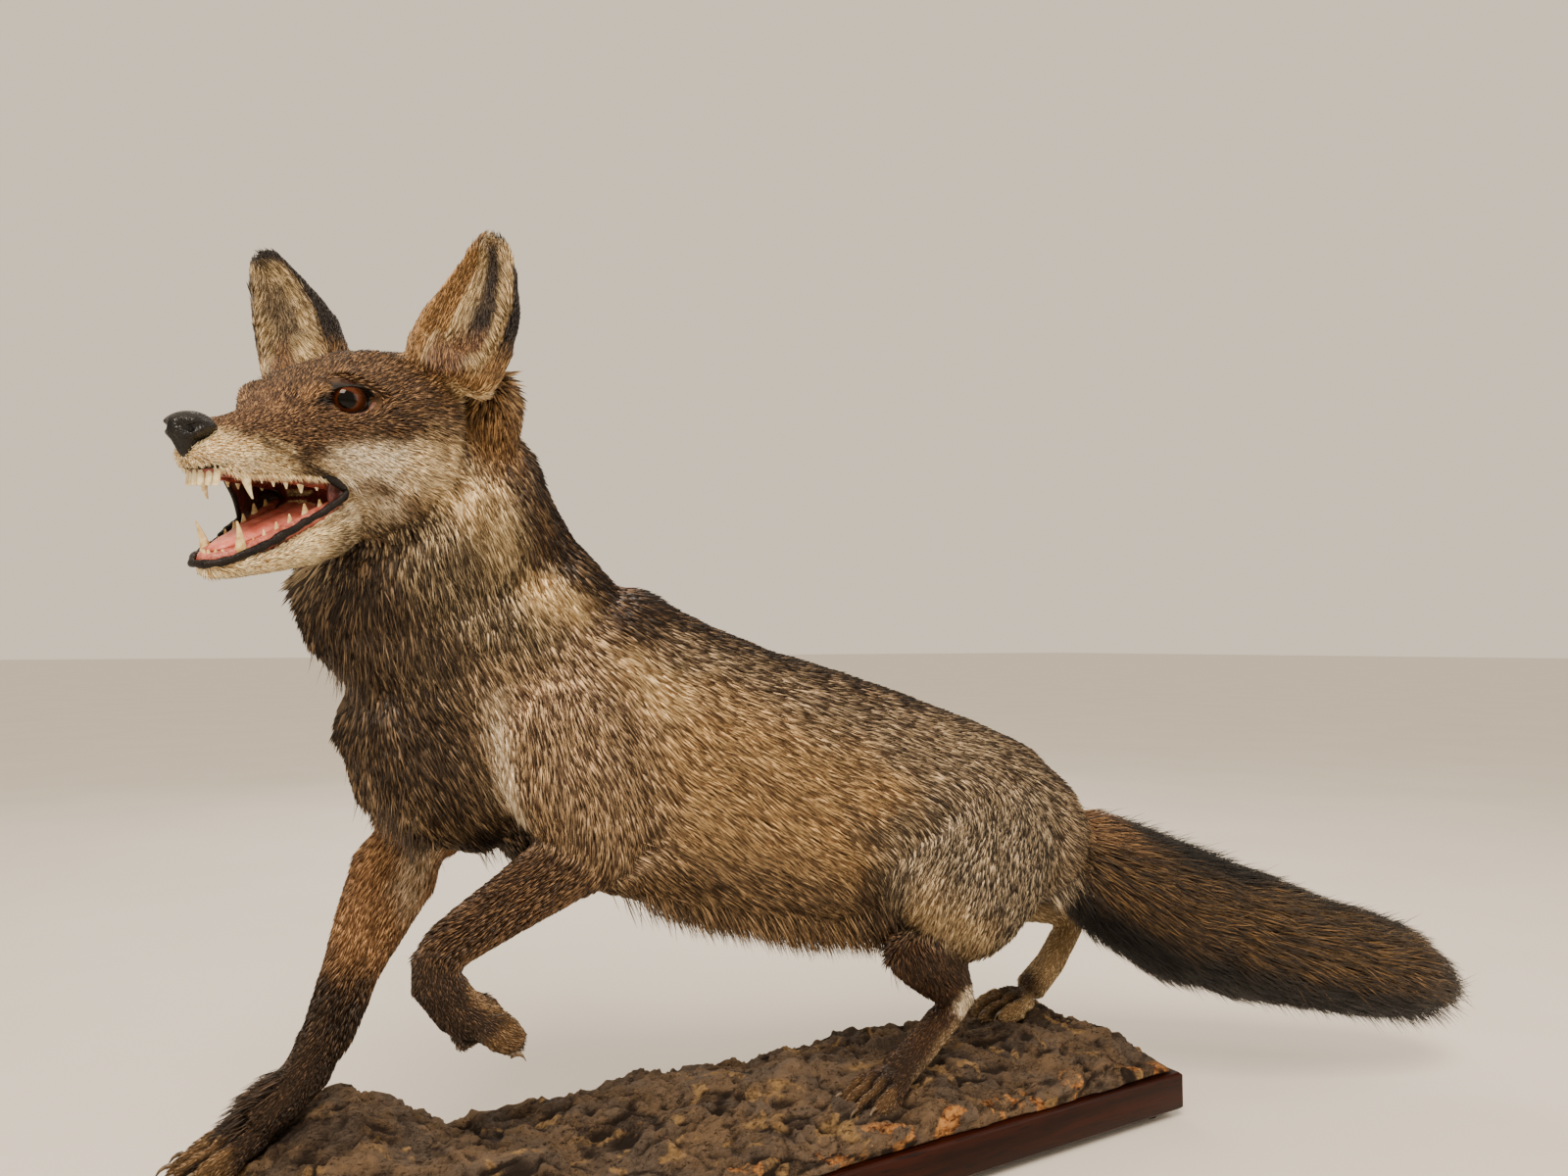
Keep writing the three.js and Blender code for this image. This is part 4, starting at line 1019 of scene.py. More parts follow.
def layTufts(name, piece, random, coat):
    root, normal, way, pelt = coat["root"], coat["normal"], coat["way"], coat["pelt"]
    long, rise, wide = coat["long"], coat["rise"], coat["wide"]
    count = len(root)
    across = unit(np.cross(normal, way))
    ahead = np.sqrt(np.maximum(long ** 2 - rise ** 2, (0.5 * long) ** 2))
    banded = random.random(count) < pelt[:, 6]
    tone = random.uniform(*tuftMake["tones"], count)[:, None]
    deep, pale = pelt[:, :3] * tone, pelt[:, 3:6] * tone
    rootShade = deep * 0.5
    midShade = np.where(banded[:, None], pale * 1.1, deep * 0.85 + pale * 0.08)
    tipShade = np.where(banded[:, None], pale * 0.85 + deep * 0.15, deep * 0.65)
    form = tuftForms[piece.get("tuft", "blade")]
    rings, corners, pattern = form["rings"], form["corners"], np.array(form["faces"])
    points = 2 + len(corners) * len(rings)
    made = np.empty((count, points, 3))
    shades = np.empty((count, points, 3))
    lay = np.empty((points, 2))
    made[:, 0] = root - normal * tuftMake["sunk"] - way * tuftMake["back"]
    shades[:, 0] = rootShade
    lay[0] = (0.5, 0.0)
    for number, (reach, height, size) in enumerate(rings):
        centre = root + way * (ahead * reach)[:, None] + normal * (rise * height)[:, None]
        lift = unit(np.cross(way * ahead[:, None] + normal * (rise * 0.6)[:, None], across) * -1)
        shade = midShade if number == len(rings) - 1 else midShade * 0.55 + rootShade * 0.45
        for k, (sideways, up) in enumerate(corners):
            spot = 1 + number * len(corners) + k
            aside = across * (wide * size * sideways)[:, None]
            made[:, spot] = centre + aside + lift * (wide * size * up * 0.6)[:, None]
            shades[:, spot] = shade
            lay[spot] = (0.5 + 0.5 * sideways, reach)
    made[:, -1] = root + way * ahead[:, None] + normal * rise[:, None]
    shades[:, -1] = tipShade
    lay[-1] = (0.5, 1.0)
    ends = (np.arange(count)[:, None, None] * points + pattern[None]).reshape(-1, 3)
    made = made.reshape(-1, 3)
    one = made[ends[:len(pattern)]]
    if (np.cross(one[:, 0], one[:, 1]) * one[:, 2]).sum() < 0:  # the first tuft is inside out
        ends = ends[:, ::-1]
    mesh = bpy.data.meshes.new(name)
    mesh.vertices.add(len(made))
    mesh.vertices.foreach_set("co", made.astype(np.float32).ravel())
    mesh.loops.add(ends.size)
    mesh.loops.foreach_set("vertex_index", ends.astype(np.int32).ravel())
    mesh.polygons.add(len(ends))
    mesh.polygons.foreach_set("loop_start", np.arange(0, ends.size, 3, dtype=np.int32))
    mesh.update(calc_edges=True)
    mesh.polygons.foreach_set("use_smooth", np.ones(len(ends), bool))
    addLevels(mesh, "pelt", shades.reshape(-1, 3))
    uv = unrolled(root, coat["owner"])
    spread = (uv[:, None, :] + (lay[None] - 0.5) * tuftMake["patch"]).reshape(-1, 2)
    layer = mesh.uv_layers.new(name="OFBake")
    layer.data.foreach_set("uv", spread[ends.ravel()].astype(np.float32).ravel())
    finishPiece(objectFrom(name, mesh), hair, piece["slot"])
    print(name, len(ends), "triangles")


def growCoat(name, piece, seed):
    # tufts over the faces of a piece's parts, spread by area and by how thickly they stand
    random = np.random.default_rng(seed)
    count = piece["tufts"] // 1
    lined = inner[faces].all(axis=1) == piece.get("lining", False)
    tris = faces[among(parts[faces[:, 0]], *piece["parts"]) & ~bare[faces].any(axis=1) & lined]
    a, b, c = spots[tris[:, 0]], spots[tris[:, 1]], spots[tris[:, 2]]
    weight = np.linalg.norm(np.cross(b - a, c - a), axis=1) * settings[tris, 4].mean(axis=1)
    edge = np.cumsum(weight) / weight.sum()
    drawn = (np.arange(count) + random.random(count)) / count
    chosen = np.minimum(np.searchsorted(edge, drawn), len(tris) - 1)
    p, q = random.random(count), random.random(count)
    over = p + q > 1
    p[over], q[over] = 1 - p[over], 1 - q[over]
    share = np.stack((1 - p - q, p, q), axis=1)
    tri = tris[chosen]

    def blended(values):
        return (values[tri] * share.reshape(count, 3, *([1] * (values.ndim - 1)))).sum(axis=1)

    root = blended(spots)
    normal = unit(blended(normals))
    facts = blended(settings)
    pelt = blended(levels)
    way = blended(lie)
    way = unit(way - normal * (way * normal).sum(axis=1)[:, None])
    across = np.cross(normal, way)
    locks = 1.1 * wave(root, 34.0, seed) + 0.9 * wave(root, 110.0, seed + 5.0)
    bend = facts[:, 3] * (locks + random.normal(0, 0.45, count))
    way = way * np.cos(bend)[:, None] + across * np.sin(bend)[:, None]
    long = facts[:, 1] / 1000 * random.uniform(0.75, 1.3, count)
    rise = facts[:, 0] / 1000 * random.uniform(0.75, 1.15, count) + 0.0003
    wide = facts[:, 2] / 1000 * random.uniform(0.65, 1.25, count) * 0.25
    layTufts(name, piece, random, {"root": root, "normal": normal, "way": way, "long": long, "rise": rise,
                                   "wide": wide, "pelt": pelt, "owner": parts[tri[:, 0]]})


hair = coatMaterial()
for number, (name, piece) in enumerate(coatPieces.items()):
    growCoat(name, piece, tuftMake["firstSeed"] + number)

# Longer hair hangs or stands off the outline: from, to, stray, count, length, way, rise and pelt.
fringes = [
    ((-66, -14, 214), (140, -12, 198), 24, 2600, 30, (0.5, -0.05, -0.9), 2.0, "belly"),
    ((118, -34, 216), (160, -24, 206), 16, 700, 32, (0.35, -0.1, -0.95), 1.0, "throat"),
    ((-84, -50, 262), (-66, -44, 280), 8, 260, 17, (0.85, -0.1, -0.5), 2.0, "shoulder"),
    ((-268, -34, 440), (-222, -52, 424), 12, 700, 26, (0.2, -0.05, -0.95), 3.0, "throat"),
    ((-262, -12, 430), (-214, 2, 300), 16, 1100, 26, (0.05, -0.05, -1.0), 3.0, "throat"),
    ((-160, 10, 280), (-120, 10, 272), 18, 420, 24, (0.5, 0.0, -0.85), 1.0, "throat"),
    ((376, -26, 262), (640, -128, 176), 18, 2300, 30, (0.83, -0.4, -0.12), 9.0, "brushDark"),
    ((356, -26, 158), (660, -150, 84), 20, 2300, 32, (0.7, -0.3, -0.62), 5.0, "brushDark"),
    ((312, -50, 190), (350, -30, 224), 14, 420, 24, (0.45, -0.1, -0.85), 3.0, "haunch"),
    ((-196, -66, 524), (-178, -52, 500), 10, 300, 10, (0.4, -0.1, -0.9), 1.0, "napeGold"),
    ((-280, 50, 143), (-305, 46, 119), 8, 520, 15, (-0.82, -0.05, -0.5), 4.5, "darkLeg"),
    ((-84, -10, 457), (-68, -14, 448), 7, 170, 21, (0.95, 0.0, -0.22), 3.0, "spine"),
    ((-30, -14, 430), (110, 0, 392), 10, 260, 22, (0.95, 0.0, -0.24), 2.5, "spine"),
]
lipFringes = [  # the same, in the axes of the head and on both sides
    ((74, 10, -38), (10, 26, -42), 1.5, 1250, 5, (-0.6, 0.12, -0.75), 1.2, "buff"),
    ((82, 4, -34), (76, 9, -37), 1.2, 240, 2.4, (-0.3, 0.1, -0.9), 1.0, "buff"),
    ((10, 28, -54), (66, 14, -86), 1.5, 900, 5, (-0.8, 0.05, -0.5), 0.8, "buff"),
    ((8, 32, -42), (-4, 34, -50), 2.0, 220, 8, (-0.7, 0.1, -0.6), 1.2, "cream"),
]
lipRows = []
for start, end, stray, count, long, way, rise, pelt in lipFringes:
    for side in (1, -1):
        turn = headTurn @ (np.array(way) * (1, side, 1) * faceSigns)
        ends = [(facePlace(np.array(spot) * (1, side, 1)) - modelOrigin) * 1000 for spot in (start, end)]
        lipRows.append((*ends, stray, count // 2, long, turn, rise, pelt))


def growFringe(name, piece, rowsOfHair, seed):
    # tufts strewn about a line and set down on the nearest skin
    random = np.random.default_rng(seed)
    rows = {key: [] for key in ("root", "normal", "way", "long", "rise", "wide", "pelt", "owner")}
    for start, end, stray, count, long, way, rise, pelt in rowsOfHair:
        count //= 1
        share = random.random((count, 1))
        marks = place(start) * (1 - share) + place(end) * share + random.normal(0, stray / 2000, (count, 3))
        landed = [skinTree.find_nearest(Vector(mark))[:3] for mark in marks]
        rows["root"].append([landing[0] for landing in landed])
        rows["normal"].append([landing[1] for landing in landed])
        rows["way"].append(unit(np.array(way) + random.normal(0, 0.13, (count, 3))))
        rows["long"].append(long / 1000 * random.uniform(0.6, 1.2, count))
        rows["rise"].append(rise / 1000 * random.uniform(0.6, 1.3, count))
        rows["wide"].append(random.uniform(0.6, 1.3, count) * min(0.0005, long * 0.00004))
        rows["pelt"].append(np.tile(peltLevels(pelt), (count, 1)))
        rows["owner"].append([parts[faces[landing[2], 0]] for landing in landed])
    coat = {key: np.concatenate([np.array(part) for part in value]) for key, value in rows.items()}
    layTufts(name, piece, random, coat)


bpy.context.view_layer.update()
skinTree = BVHTree.FromPolygons([Vector(spot) for spot in spots], [tuple(face) for face in faces.tolist()])
growFringe("fringe_coat", {"slot": "body_fur", "tuft": "long"}, fringes, 41)
growFringe("lip_coat", {"slot": "face_fur"}, lipRows, 43)
print("coat grown")

glassForm = {  # distances from the line of sight in metres, where one colour gives way to the next
    "pupil": (0.0042, 0.0056), "iris": (0.0040, 0.0112), "rim": (0.0112, 0.0122),
    "pupilColour": "030201", "irisColours": ("48230f", "200f08"), "rimColour": "0e0604",
}


def ballMaterial(name, centre, gaze):
    material, spot, shader = newMaterial(name, 0.04, 0.16)
    gap = spot.make("ShaderNodeVectorMath", {"operation": "SUBTRACT"}, {0: spot, 1: tuple(centre)})
    off = spot.make("ShaderNodeVectorMath", {"operation": "CROSS_PRODUCT"}, {0: gap, 1: tuple(gaze)})
    away = spot.make("ShaderNodeVectorMath", {"operation": "LENGTH"}, {0: off}, 1)
    streak = gap.noise(900.0, 3.0) * 0.0012
    ring = away + streak - 0.0006
    first, second = glassForm["irisColours"]
    iris = ring.step(*glassForm["iris"]).mix(rgba(first), rgba(second))
    rimmed = ring.step(*glassForm["rim"]).mix(iris, rgba(glassForm["rimColour"]))
    away.step(*glassForm["pupil"]).mix(rgba(glassForm["pupilColour"]), rimmed).feed(shader, "Base Color")
    return material


def makeEye(name, side):
    middle = np.array(eyeForm["middle"], float) * (1, side, 1)
    gaze = unit(np.array(eyeForm["gaze"]) * (1, side, 1))
    bpy.ops.mesh.primitive_uv_sphere_add(segments=44, ring_count=30, radius=1)
    obj = bpy.context.object
    obj.name = name
    ball = spotsOf(obj)
    ball *= (1 + 0.05 * ease(0.74, 0.98, ball[:, 2]))[:, None]  # the cornea stands out a little
    level = unit(np.cross((0, 0, 1), gaze))
    upright = np.cross(gaze, level)
    turned = ball @ np.array((level, upright, gaze))
    moveTo(obj, facePlace(middle + eyeForm["radius"] * turned))
    smoothOver(obj, 180)
    way = facePlace(middle + gaze) - facePlace(middle)
    material = ballMaterial(name + "_glass", facePlace(middle), unit(way))
    finishPiece(obj, material, "glass_eye", name.replace("glass", "eye"))


lidForm = {  # rings on the ball, over the roll and on the skin: distance outward from the edge, and lift
    "steps": 56, "seat": ((-1.8, -5.0), (-0.5, -0.6), (0.3, 0.5)), "roll": ((0.3, 0.55), (0.66, 0.35)),
    "skin": ((3.4, 0.1), (5.2, -1.4)),
    "rim": "0d0907", "flesh": "7a5648", "lower": "6b4a38", "upper": "261910", "brow": "43301f",
}


def lidMaterial():
    material, spot, shader = newMaterial("eye_rim", 0.45, 0.4)
    spot.reading("pelt").feed(shader, "Base Color")
    bumpFrom(spot.noise(700.0, 3.0), 0.4, 0.0006).feed(shader, "Normal")
    return material


def makeLids(name, side, tree):
    # a closed ring: in behind the edge, over the roll of the lid, and down onto the skin
    centre, across, above, out, middle, half = eyeFrame(side)
    rel = middle - centre
    ma, mb, mc = rel @ across, rel @ above, rel @ out
    turns = np.linspace(0, 2 * math.pi, lidForm["steps"], endpoint=False)
    height = np.where(np.sin(turns) >= 0, eyeForm["top"], eyeForm["bottom"])
    edgeA = half * np.cos(turns)
    edgeB = height * np.sign(np.sin(turns)) * np.abs(np.sin(turns)) ** 1.15
    outward = unit(np.stack((edgeA / half ** 2, edgeB / height ** 2 + 1e-9), axis=1))
    rings = []
    for step, lift in lidForm["seat"]:
        a = edgeA + outward[:, 0] * step
        b = edgeB + outward[:, 1] * step
        ball = (eyeForm["radius"] + 0.35) ** 2 - (edgeA - ma) ** 2 - (edgeB - mb) ** 2
        c = np.maximum(mc + np.sqrt(np.maximum(ball, 0)), -1.2) + lift
        rings.append(facePlace(centre + a[:, None] * across + b[:, None] * above + c[:, None] * out))
    landed = []
    for step, lift in lidForm["skin"]:
        ring = []
        for one, two in zip(edgeA + outward[:, 0] * step, edgeB + outward[:, 1] * step):
            start = facePlace(centre + across * one + above * two + out * 2)
            spot, normal = tree.find_nearest(Vector(start))[:2]
            ring.append(np.array(spot + normal * lift / 1000))
        landed.append(np.array(ring))
    bulge = (facePlace(centre + out) - facePlace(centre))
    for share, lift in lidForm["roll"]:
        rings.append(rings[2] * (1 - share) + landed[0] * share + bulge * lift)
    rings += landed
    lower = (np.sin(turns) < -0.15)[:, None]
    tones = [("rim", "rim")] * 3 + [("flesh", "rim"), ("lower", "upper"), ("brow", "brow"), ("brow", "brow"),
                                    ("rim", "rim")]
    rings.append(rings[0])
    obj = ringLoft(name, rings, capped=False)
    addLevels(obj.data, "pelt", np.concatenate(
        [np.where(lower, linear(lidForm[below]), linear(lidForm[above])) for below, above in tones]))
    pickOnly(obj)
    bpy.ops.object.mode_set(mode="EDIT")
    bpy.ops.mesh.select_all(action="SELECT")
    bpy.ops.mesh.remove_doubles(threshold=0.00001)
    bpy.ops.mesh.subdivide(number_cuts=1, smoothness=0.6)
    bpy.ops.mesh.normals_make_consistent(inside=False)
    bpy.ops.object.mode_set(mode="OBJECT")
    smoothOver(obj, 180)
    finishPiece(obj, rimMaterial, "face_fur")


rimMaterial = lidMaterial()
for side, hand in ((1, "left"), (-1, "right")):
    makeEye("glass_" + hand, side)
    makeLids("lids_" + hand, side, skinTree)
print("eyes set")


def curveThrough(points, count, closed=False):
    # a smooth line through the points, evenly spaced
    points = np.asarray(points, float)
    size = len(points)
    made = []
    for i in range(size if closed else size - 1):
        near = range(i - 1, i + 3)
        p = [points[k % size] if closed else points[min(max(k, 0), size - 1)] for k in near]
        for t in np.linspace(0, 1, 12, endpoint=False):
            made.append(0.5 * (2 * p[1] + (p[2] - p[0]) * t + (2 * p[0] - 5 * p[1] + 4 * p[2] - p[3]) * t * t
                               + (3 * p[1] - p[0] - 3 * p[2] + p[3]) * t ** 3))
    made = np.array(made + [points[0] if closed else points[-1]])
    run = np.concatenate(([0], np.cumsum(np.linalg.norm(np.diff(made[:, :3], axis=0), axis=1))))
    places = np.linspace(0, run[-1], count + 1 if closed else count)
    fine = np.stack([np.interp(places, run, made[:, k]) for k in range(made.shape[1])], axis=1)
    return fine[:-1] if closed else fine


def tubeAlong(name, points, count, around, closed=False):
    # points: ahead, out, up, half thickness across, half thickness up
    line = curveThrough(points, count, closed)
    middle = line[:, :3]
    way = unit(np.roll(middle, -1, 0) - np.roll(middle, 1, 0) if closed else np.gradient(middle, axis=0))
    across = unit(np.cross(way, (0, 0, 1.0)))
    over = np.cross(across, way)
    turns = np.linspace(0, 2 * math.pi, around, endpoint=False)
    rings = []
    for spot, side, top in zip(line, across, over):
        circle = np.outer(np.cos(turns) * spot[3], side) + np.outer(np.sin(turns) * spot[4], top)
        rings.append(facePlace(spot[:3] + circle))
    if closed:
        rings.append(rings[0])
    obj = ringLoft(name, rings, capped=not closed)
    editWhole(obj, mergeWithin=0.00001, faceOut=True)
    smoothOver(obj, 180)
    return obj


def bothSides(points):
    # a half line from the back to the middle of the front, and back along the other side
    return points + [(p[0], -p[1], *p[2:]) for p in points[-2::-1]]


noseForm = {  # the slits run from the front to the side: reach and depth of each length
    "middle": (78, 0, -19.5), "half": (12.2, 11.5, 9.3), "colours": ("090a0b", "040505"),
    "slit": ((87.5, 4.6, -18.2), (87.0, 7.6, -19.6), (83.5, 10.2, -17.4), (80.0, 11.2, -17.0)),
    "slitCuts": ((2.5, 4.6), (1.7, 3.0), (1.3, 1.6)), "wing": (84, 8.5, -21.5),
}


def makeNose():
    # a ball drawn to the shape of the pad, with a slit and a wing on each side and a groove in the middle
    bpy.ops.mesh.primitive_uv_sphere_add(segments=72, ring_count=48, radius=1)
    obj = bpy.context.object
    obj.name = "nose_pad"
    ball = spotsOf(obj)
    z = ball[:, 2]
    f = np.sign(ball[:, 0]) * np.abs(ball[:, 0]) ** 0.85
    l = np.sign(ball[:, 1]) * np.abs(ball[:, 1]) ** 0.9
    l = l * np.interp(z, (-1, -0.5, 0.2, 1), (0.42, 0.55, 1.0, 0.92))
    f = f - np.where(f > 0, 0.16 * ease(0.1, -0.9, z), 0) - 0.1 * ease(0.4, 1.0, z) * (f > 0)
    spots = np.array(noseForm["middle"]) + np.stack((f, l, z), axis=1) * noseForm["half"]
    front = ease(78, 84, spots[:, 0])
    spots[:, 2] -= 5.5 * ease(-0.45, -1.0, z) * np.exp(-(spots[:, 1] / 5) ** 2)
    for side in (1, -1):
        slit = np.array(noseForm["slit"]) * (1, side, 1)
        for first, second, (reach, deep) in zip(slit[:-1], slit[1:], noseForm["slitCuts"]):
            step = second - first
            t = np.clip((spots - first) @ step / (step @ step), 0, 1)
            gap = np.linalg.norm(spots - first - t[:, None] * step, axis=1)
            pull = np.exp(-(gap / reach) ** 2) * deep
            spots += pull[:, None] * unit(np.array((-1.0, -0.35 * side, 0.1)))
        wing = np.linalg.norm((spots - np.array(noseForm["wing"]) * (1, side, 1)) / (5, 3.2, 3.0), axis=1)
        spots += np.exp(-wing ** 2)[:, None] * np.array((0.9, 0.8 * side, -0.2))
    spots[:, 0] -= front * 1.3 * np.exp(-(spots[:, 1] / 1.0) ** 2) * ease(-14, -18, spots[:, 2])
    moveTo(obj, facePlace(spots))
    smoothOver(obj, 180)
    material, spot, shader = newMaterial("nose_leather", 0.34, 0.32)
    cells = spot.make("ShaderNodeTexVoronoi", {"feature": "F1"}, {"Vector": spot, "Scale": 900.0})
    # painted shade: the sunken edges of the cells are a darker black than their raised middles
    raised, sunken = noseForm["colours"]
    cells.step(0.1, 0.7).mix(rgba(raised), rgba(sunken)).feed(shader, "Base Color")
    (spot.noise(240.0, 3.0).step(0.3, 0.7) * 0.16 + 0.26).feed(shader, "Roughness")
    bumpFrom(1 - cells, 0.5, 0.0007).feed(shader, "Normal")
    finishPiece(obj, material, "nose_pad", "nose")


def wetMaterial(name, first, second, rough, bump, scale=260.0, shine=0.5):
    material, spot, shader = newMaterial(name, rough, shine)
    blotch = spot.noise(scale, 4.0)
    blotch.step(0.3, 0.72).mix(rgba(first), rgba(second)).feed(shader, "Base Color")
    bumpFrom(spot.noise(scale * 3, 3.0), bump, 0.0008).feed(shader, "Normal")
    return material


# each line: ahead, outward, up, and half its thickness across and up
mouthLines = {
    "upper_lip": [
        (2, 28.6, -47.5, 1.8, 2.2), (8, 24.6, -40.6, 1.3, 1.8), (17, 21.0, -37, 1.2, 1.8),
        (30, 17.8, -35.6, 1.2, 1.8), (48, 14.8, -35.2, 1.2, 1.9), (62, 12.8, -35, 1.2, 1.9),
        (70, 10.0, -35, 1.2, 2.0), (74.5, 6, -35.2, 1.2, 2.0), (75.5, 0, -35.4, 1.3, 2.0),
    ],
    "lower_lip": [
        (10, -26, -54.6, 1.8, 2.3), (24, -21.4, -62.6, 1.6, 2.2), (40, -18, -70.4, 1.5, 2.2),
        (55, -14.8, -77, 1.5, 2.2), (67, -10.4, -81.2, 1.6, 2.3), (73, -5, -83, 1.7, 2.3),
        (74.2, 0, -83.4, 1.7, 2.3), (73, 5, -83, 1.7, 2.3), (67, 10.4, -81.2, 1.6, 2.3),
        (55, 14.8, -77, 1.5, 2.2), (40, 18, -70.4, 1.5, 2.2), (24, 21.4, -62.6, 1.6, 2.2),
        (10, 25.8, -54.4, 1.7, 2.2),
    ],
    "groove": [
        (81.5, 0, -26, 1.8, 1.6), (79.2, 0, -30, 1.5, 1.5), (77.9, 0, -33, 1.4, 1.4),
        (76.2, 0, -36, 1.4, 1.4),
    ],
    "upper_gum": [
        (2, 18, -42.5, 3.0, 3.6), (20, 15.6, -40, 3.2, 4.2), (40, 13.4, -38.4, 3.0, 4.2),
        (56, 11.2, -37.6, 3.0, 4.2), (66, 8.4, -37.2, 3.0, 4.0), (70.5, 4, -37.2, 3.0, 4.0),
        (71.5, 0, -37.2, 3.0, 4.0),
    ],
    "lower_gum": [
        (-2, 18.5, -53.5, 3.0, 3.5), (16, 16.4, -61.5, 3.2, 4.4), (32, 13.6, -68.8, 3.2, 4.4),
        (47, 11, -75, 3.2, 4.4), (60, 8.2, -79.2, 3.2, 4.4), (67, 4.6, -81, 3.0, 3.8),
        (69, 0, -81.4, 3.0, 3.6),
    ],
    "floor": [
        (-6, 0, -58, 18, 4), (14, 0, -66, 15, 4), (34, 0, -74.5, 12, 4), (50, 0, -80, 10, 3.4),
        (64, 0, -83, 6, 2.4),
    ],
    "tongue": [
        (-14, 0, -52, 12, 5), (4, 0, -57, 12.5, 5), (22, 0, -62.5, 12, 4.4), (40, 0, -68, 10.5, 3.8),
        (54, 0, -72.5, 8.5, 3.2), (63, 0, -75.5, 5.5, 2.2), (66.5, 0, -76.8, 1.5, 0.9),
    ],
}
cheekForm = {  # back edge, front edge from top to bottom, height of the top and its slope, lowest bottom
    "left": {"side": 1, "back": 0, "front": (9, 9, 9), "top": -45.0, "slope": 4.0, "bottom": -50},
    "right": {"side": -1, "back": -24, "front": (42, 33, 25), "top": -36.0, "slope": -2.5, "bottom": -59},
}


def makeCheek(hand, form):
    # a sheet of flesh between the jaws
    side, back = form["side"], form["back"]
    rows = []
    for t in np.linspace(0, 1, 9):
        row = []
        for k in np.linspace(0, 1, 7):
            f = back + t * (np.interp(k, (0, 0.4, 1), form["front"]) - back)
            top = form["top"] + form["slope"] * t
            low = min(-50 - 0.52 * f, form["bottom"])
            out = 27.5 - (0.28 - 0.02 * k) * f - 1.0 - 1.5 * math.sin(math.pi * k)
            row.append(np.array((f, side * out, top + (low - top) * k)))
        rear = [spot + np.array((-0.5, -side * 1.2, 0)) for spot in row[::-1]]
        rows.append(facePlace(np.array(row + rear)))
    cheek = ringLoft("cheek_flesh_" + hand, rows)
    smoothOver(cheek, 60)
    finishPiece(cheek, cheekFlesh, "teeth_and_gum")
    return row


def makeMouth():
    loop = bothSides(mouthLines["upper_lip"]) + mouthLines["lower_lip"]
    lips = tubeAlong("lips", loop, 150, 12, closed=True)
    ends = spotsOf(lips)
    ripple = wave(ends, 260.0) * 0.0008 + wave(ends, 90.0, 3.0) * 0.0008
    moveTo(lips, ends + normalsOf(lips) * ripple[:, None])
    finishPiece(lips, blackLip, "nose_pad")
    finishPiece(tubeAlong("lip_groove", mouthLines["groove"], 24, 14), blackLip, "nose_pad")
    upper = tubeAlong("upper_gum", bothSides(mouthLines["upper_gum"]), 90, 12)
    finishPiece(upper, wetMaterial("upper_gum_flesh", "54221c", "8c4034", 0.3, 0.6), "teeth_and_gum")
    lower = tubeAlong("lower_gum", bothSides(mouthLines["lower_gum"]), 90, 12)
    finishPiece(lower, wetMaterial("lower_gum_flesh", "8f4236", "c67463", 0.28, 0.8), "teeth_and_gum")
    floor = tubeAlong("mouth_floor", mouthLines["floor"], 24, 20)
    finishPiece(floor, wetMaterial("mouth_floor_flesh", "7a2c25", "b35a4b", 0.3, 0.6), "tongue")
    makeCheek("left", cheekForm["left"])
    edge = makeCheek("right", cheekForm["right"])
    fold = tubeAlong("lip_fold", [(*spot, 1.3, 1.3) for spot in edge], 40, 12)
    finishPiece(fold, blackLip, "nose_pad")


def makeTongue():
    turns = np.linspace(0, 2 * math.pi, 32, endpoint=False)
    side, top = np.cos(turns), np.sin(turns)
    rings = []
    for number, spot in enumerate(curveThrough(mouthLines["tongue"], 46)):
        groove = 0.28 * np.exp(-(side / 0.2) ** 2) * (top > 0)
        ripple = 0.05 * np.sin(number * 0.9 + side * 3)
        height = spot[2] + (top * (1 + ripple) - groove) * spot[4]
        rings.append(facePlace(np.stack((np.full(len(turns), spot[0]), side * spot[3], height), axis=1)))
    obj = ringLoft("tongue_flesh", rings)
    smoothOver(obj, 180)
    material, spot, shader = newMaterial("tongue_pink", 0.36, 0.5)
    patchy = spot.noise(120.0, 4.0)
    patchy.step(0.3, 0.7).mix(rgba("b4584a"), rgba("d98272")).feed(shader, "Base Color")
    bumpFrom(spot.noise(900.0, 3.0), 0.5, 0.0007).feed(shader, "Normal")
    finishPiece(obj, material, "tongue", "tongue")


def toothMaster():
    # one blunt cone, a unit long, that every tooth and claw is bent from
    bpy.ops.mesh.primitive_cone_add(vertices=12, radius1=1, radius2=0.12, depth=1, location=(0, 0, 0.5))
    obj = bpy.context.object
    pickOnly(obj)
    bpy.ops.object.transform_apply(location=True, rotation=True, scale=True)
    applyModifier(obj, "rows", "SUBSURF", subdivision_type="SIMPLE", levels=2, render_levels=2)
    spots = spotsOf(obj)
    shapes = [tuple(face.vertices) for face in obj.data.polygons]
    bpy.data.objects.remove(obj)
    return spots, shapes


def toothAt(base, tip, along, across, curve, alongWay, blunt=0.0):
    # one tooth from base to tip: widths along the jaw and across it, bowed by curve
    spots, shapes = toothModel
    base, tip = np.array(base, float), np.array(tip, float)
    rise = tip - base
    z = spots[:, 2]
    full = np.interp(z, (0, 0.15, 0.5, 0.8, 1.0), (0.86, 1.0, 1.02, 1.05, 1.15))
    full = full * (1 - blunt) + blunt * np.interp(z, (0, 0.8, 1), (1, 1, 0.8)) / (1 - 0.88 * z)
    way = unit(np.array(alongWay, float))
    over = unit(np.cross(rise, way))
    bow = curve * 4 * z * (1 - z)
    made = base + z[:, None] * rise + (spots[:, 0] * full * along)[:, None] * way
    made += (spots[:, 1] * full * across)[:, None] * over
    made += bow[:, None] * way
    return facePlace(made), shapes


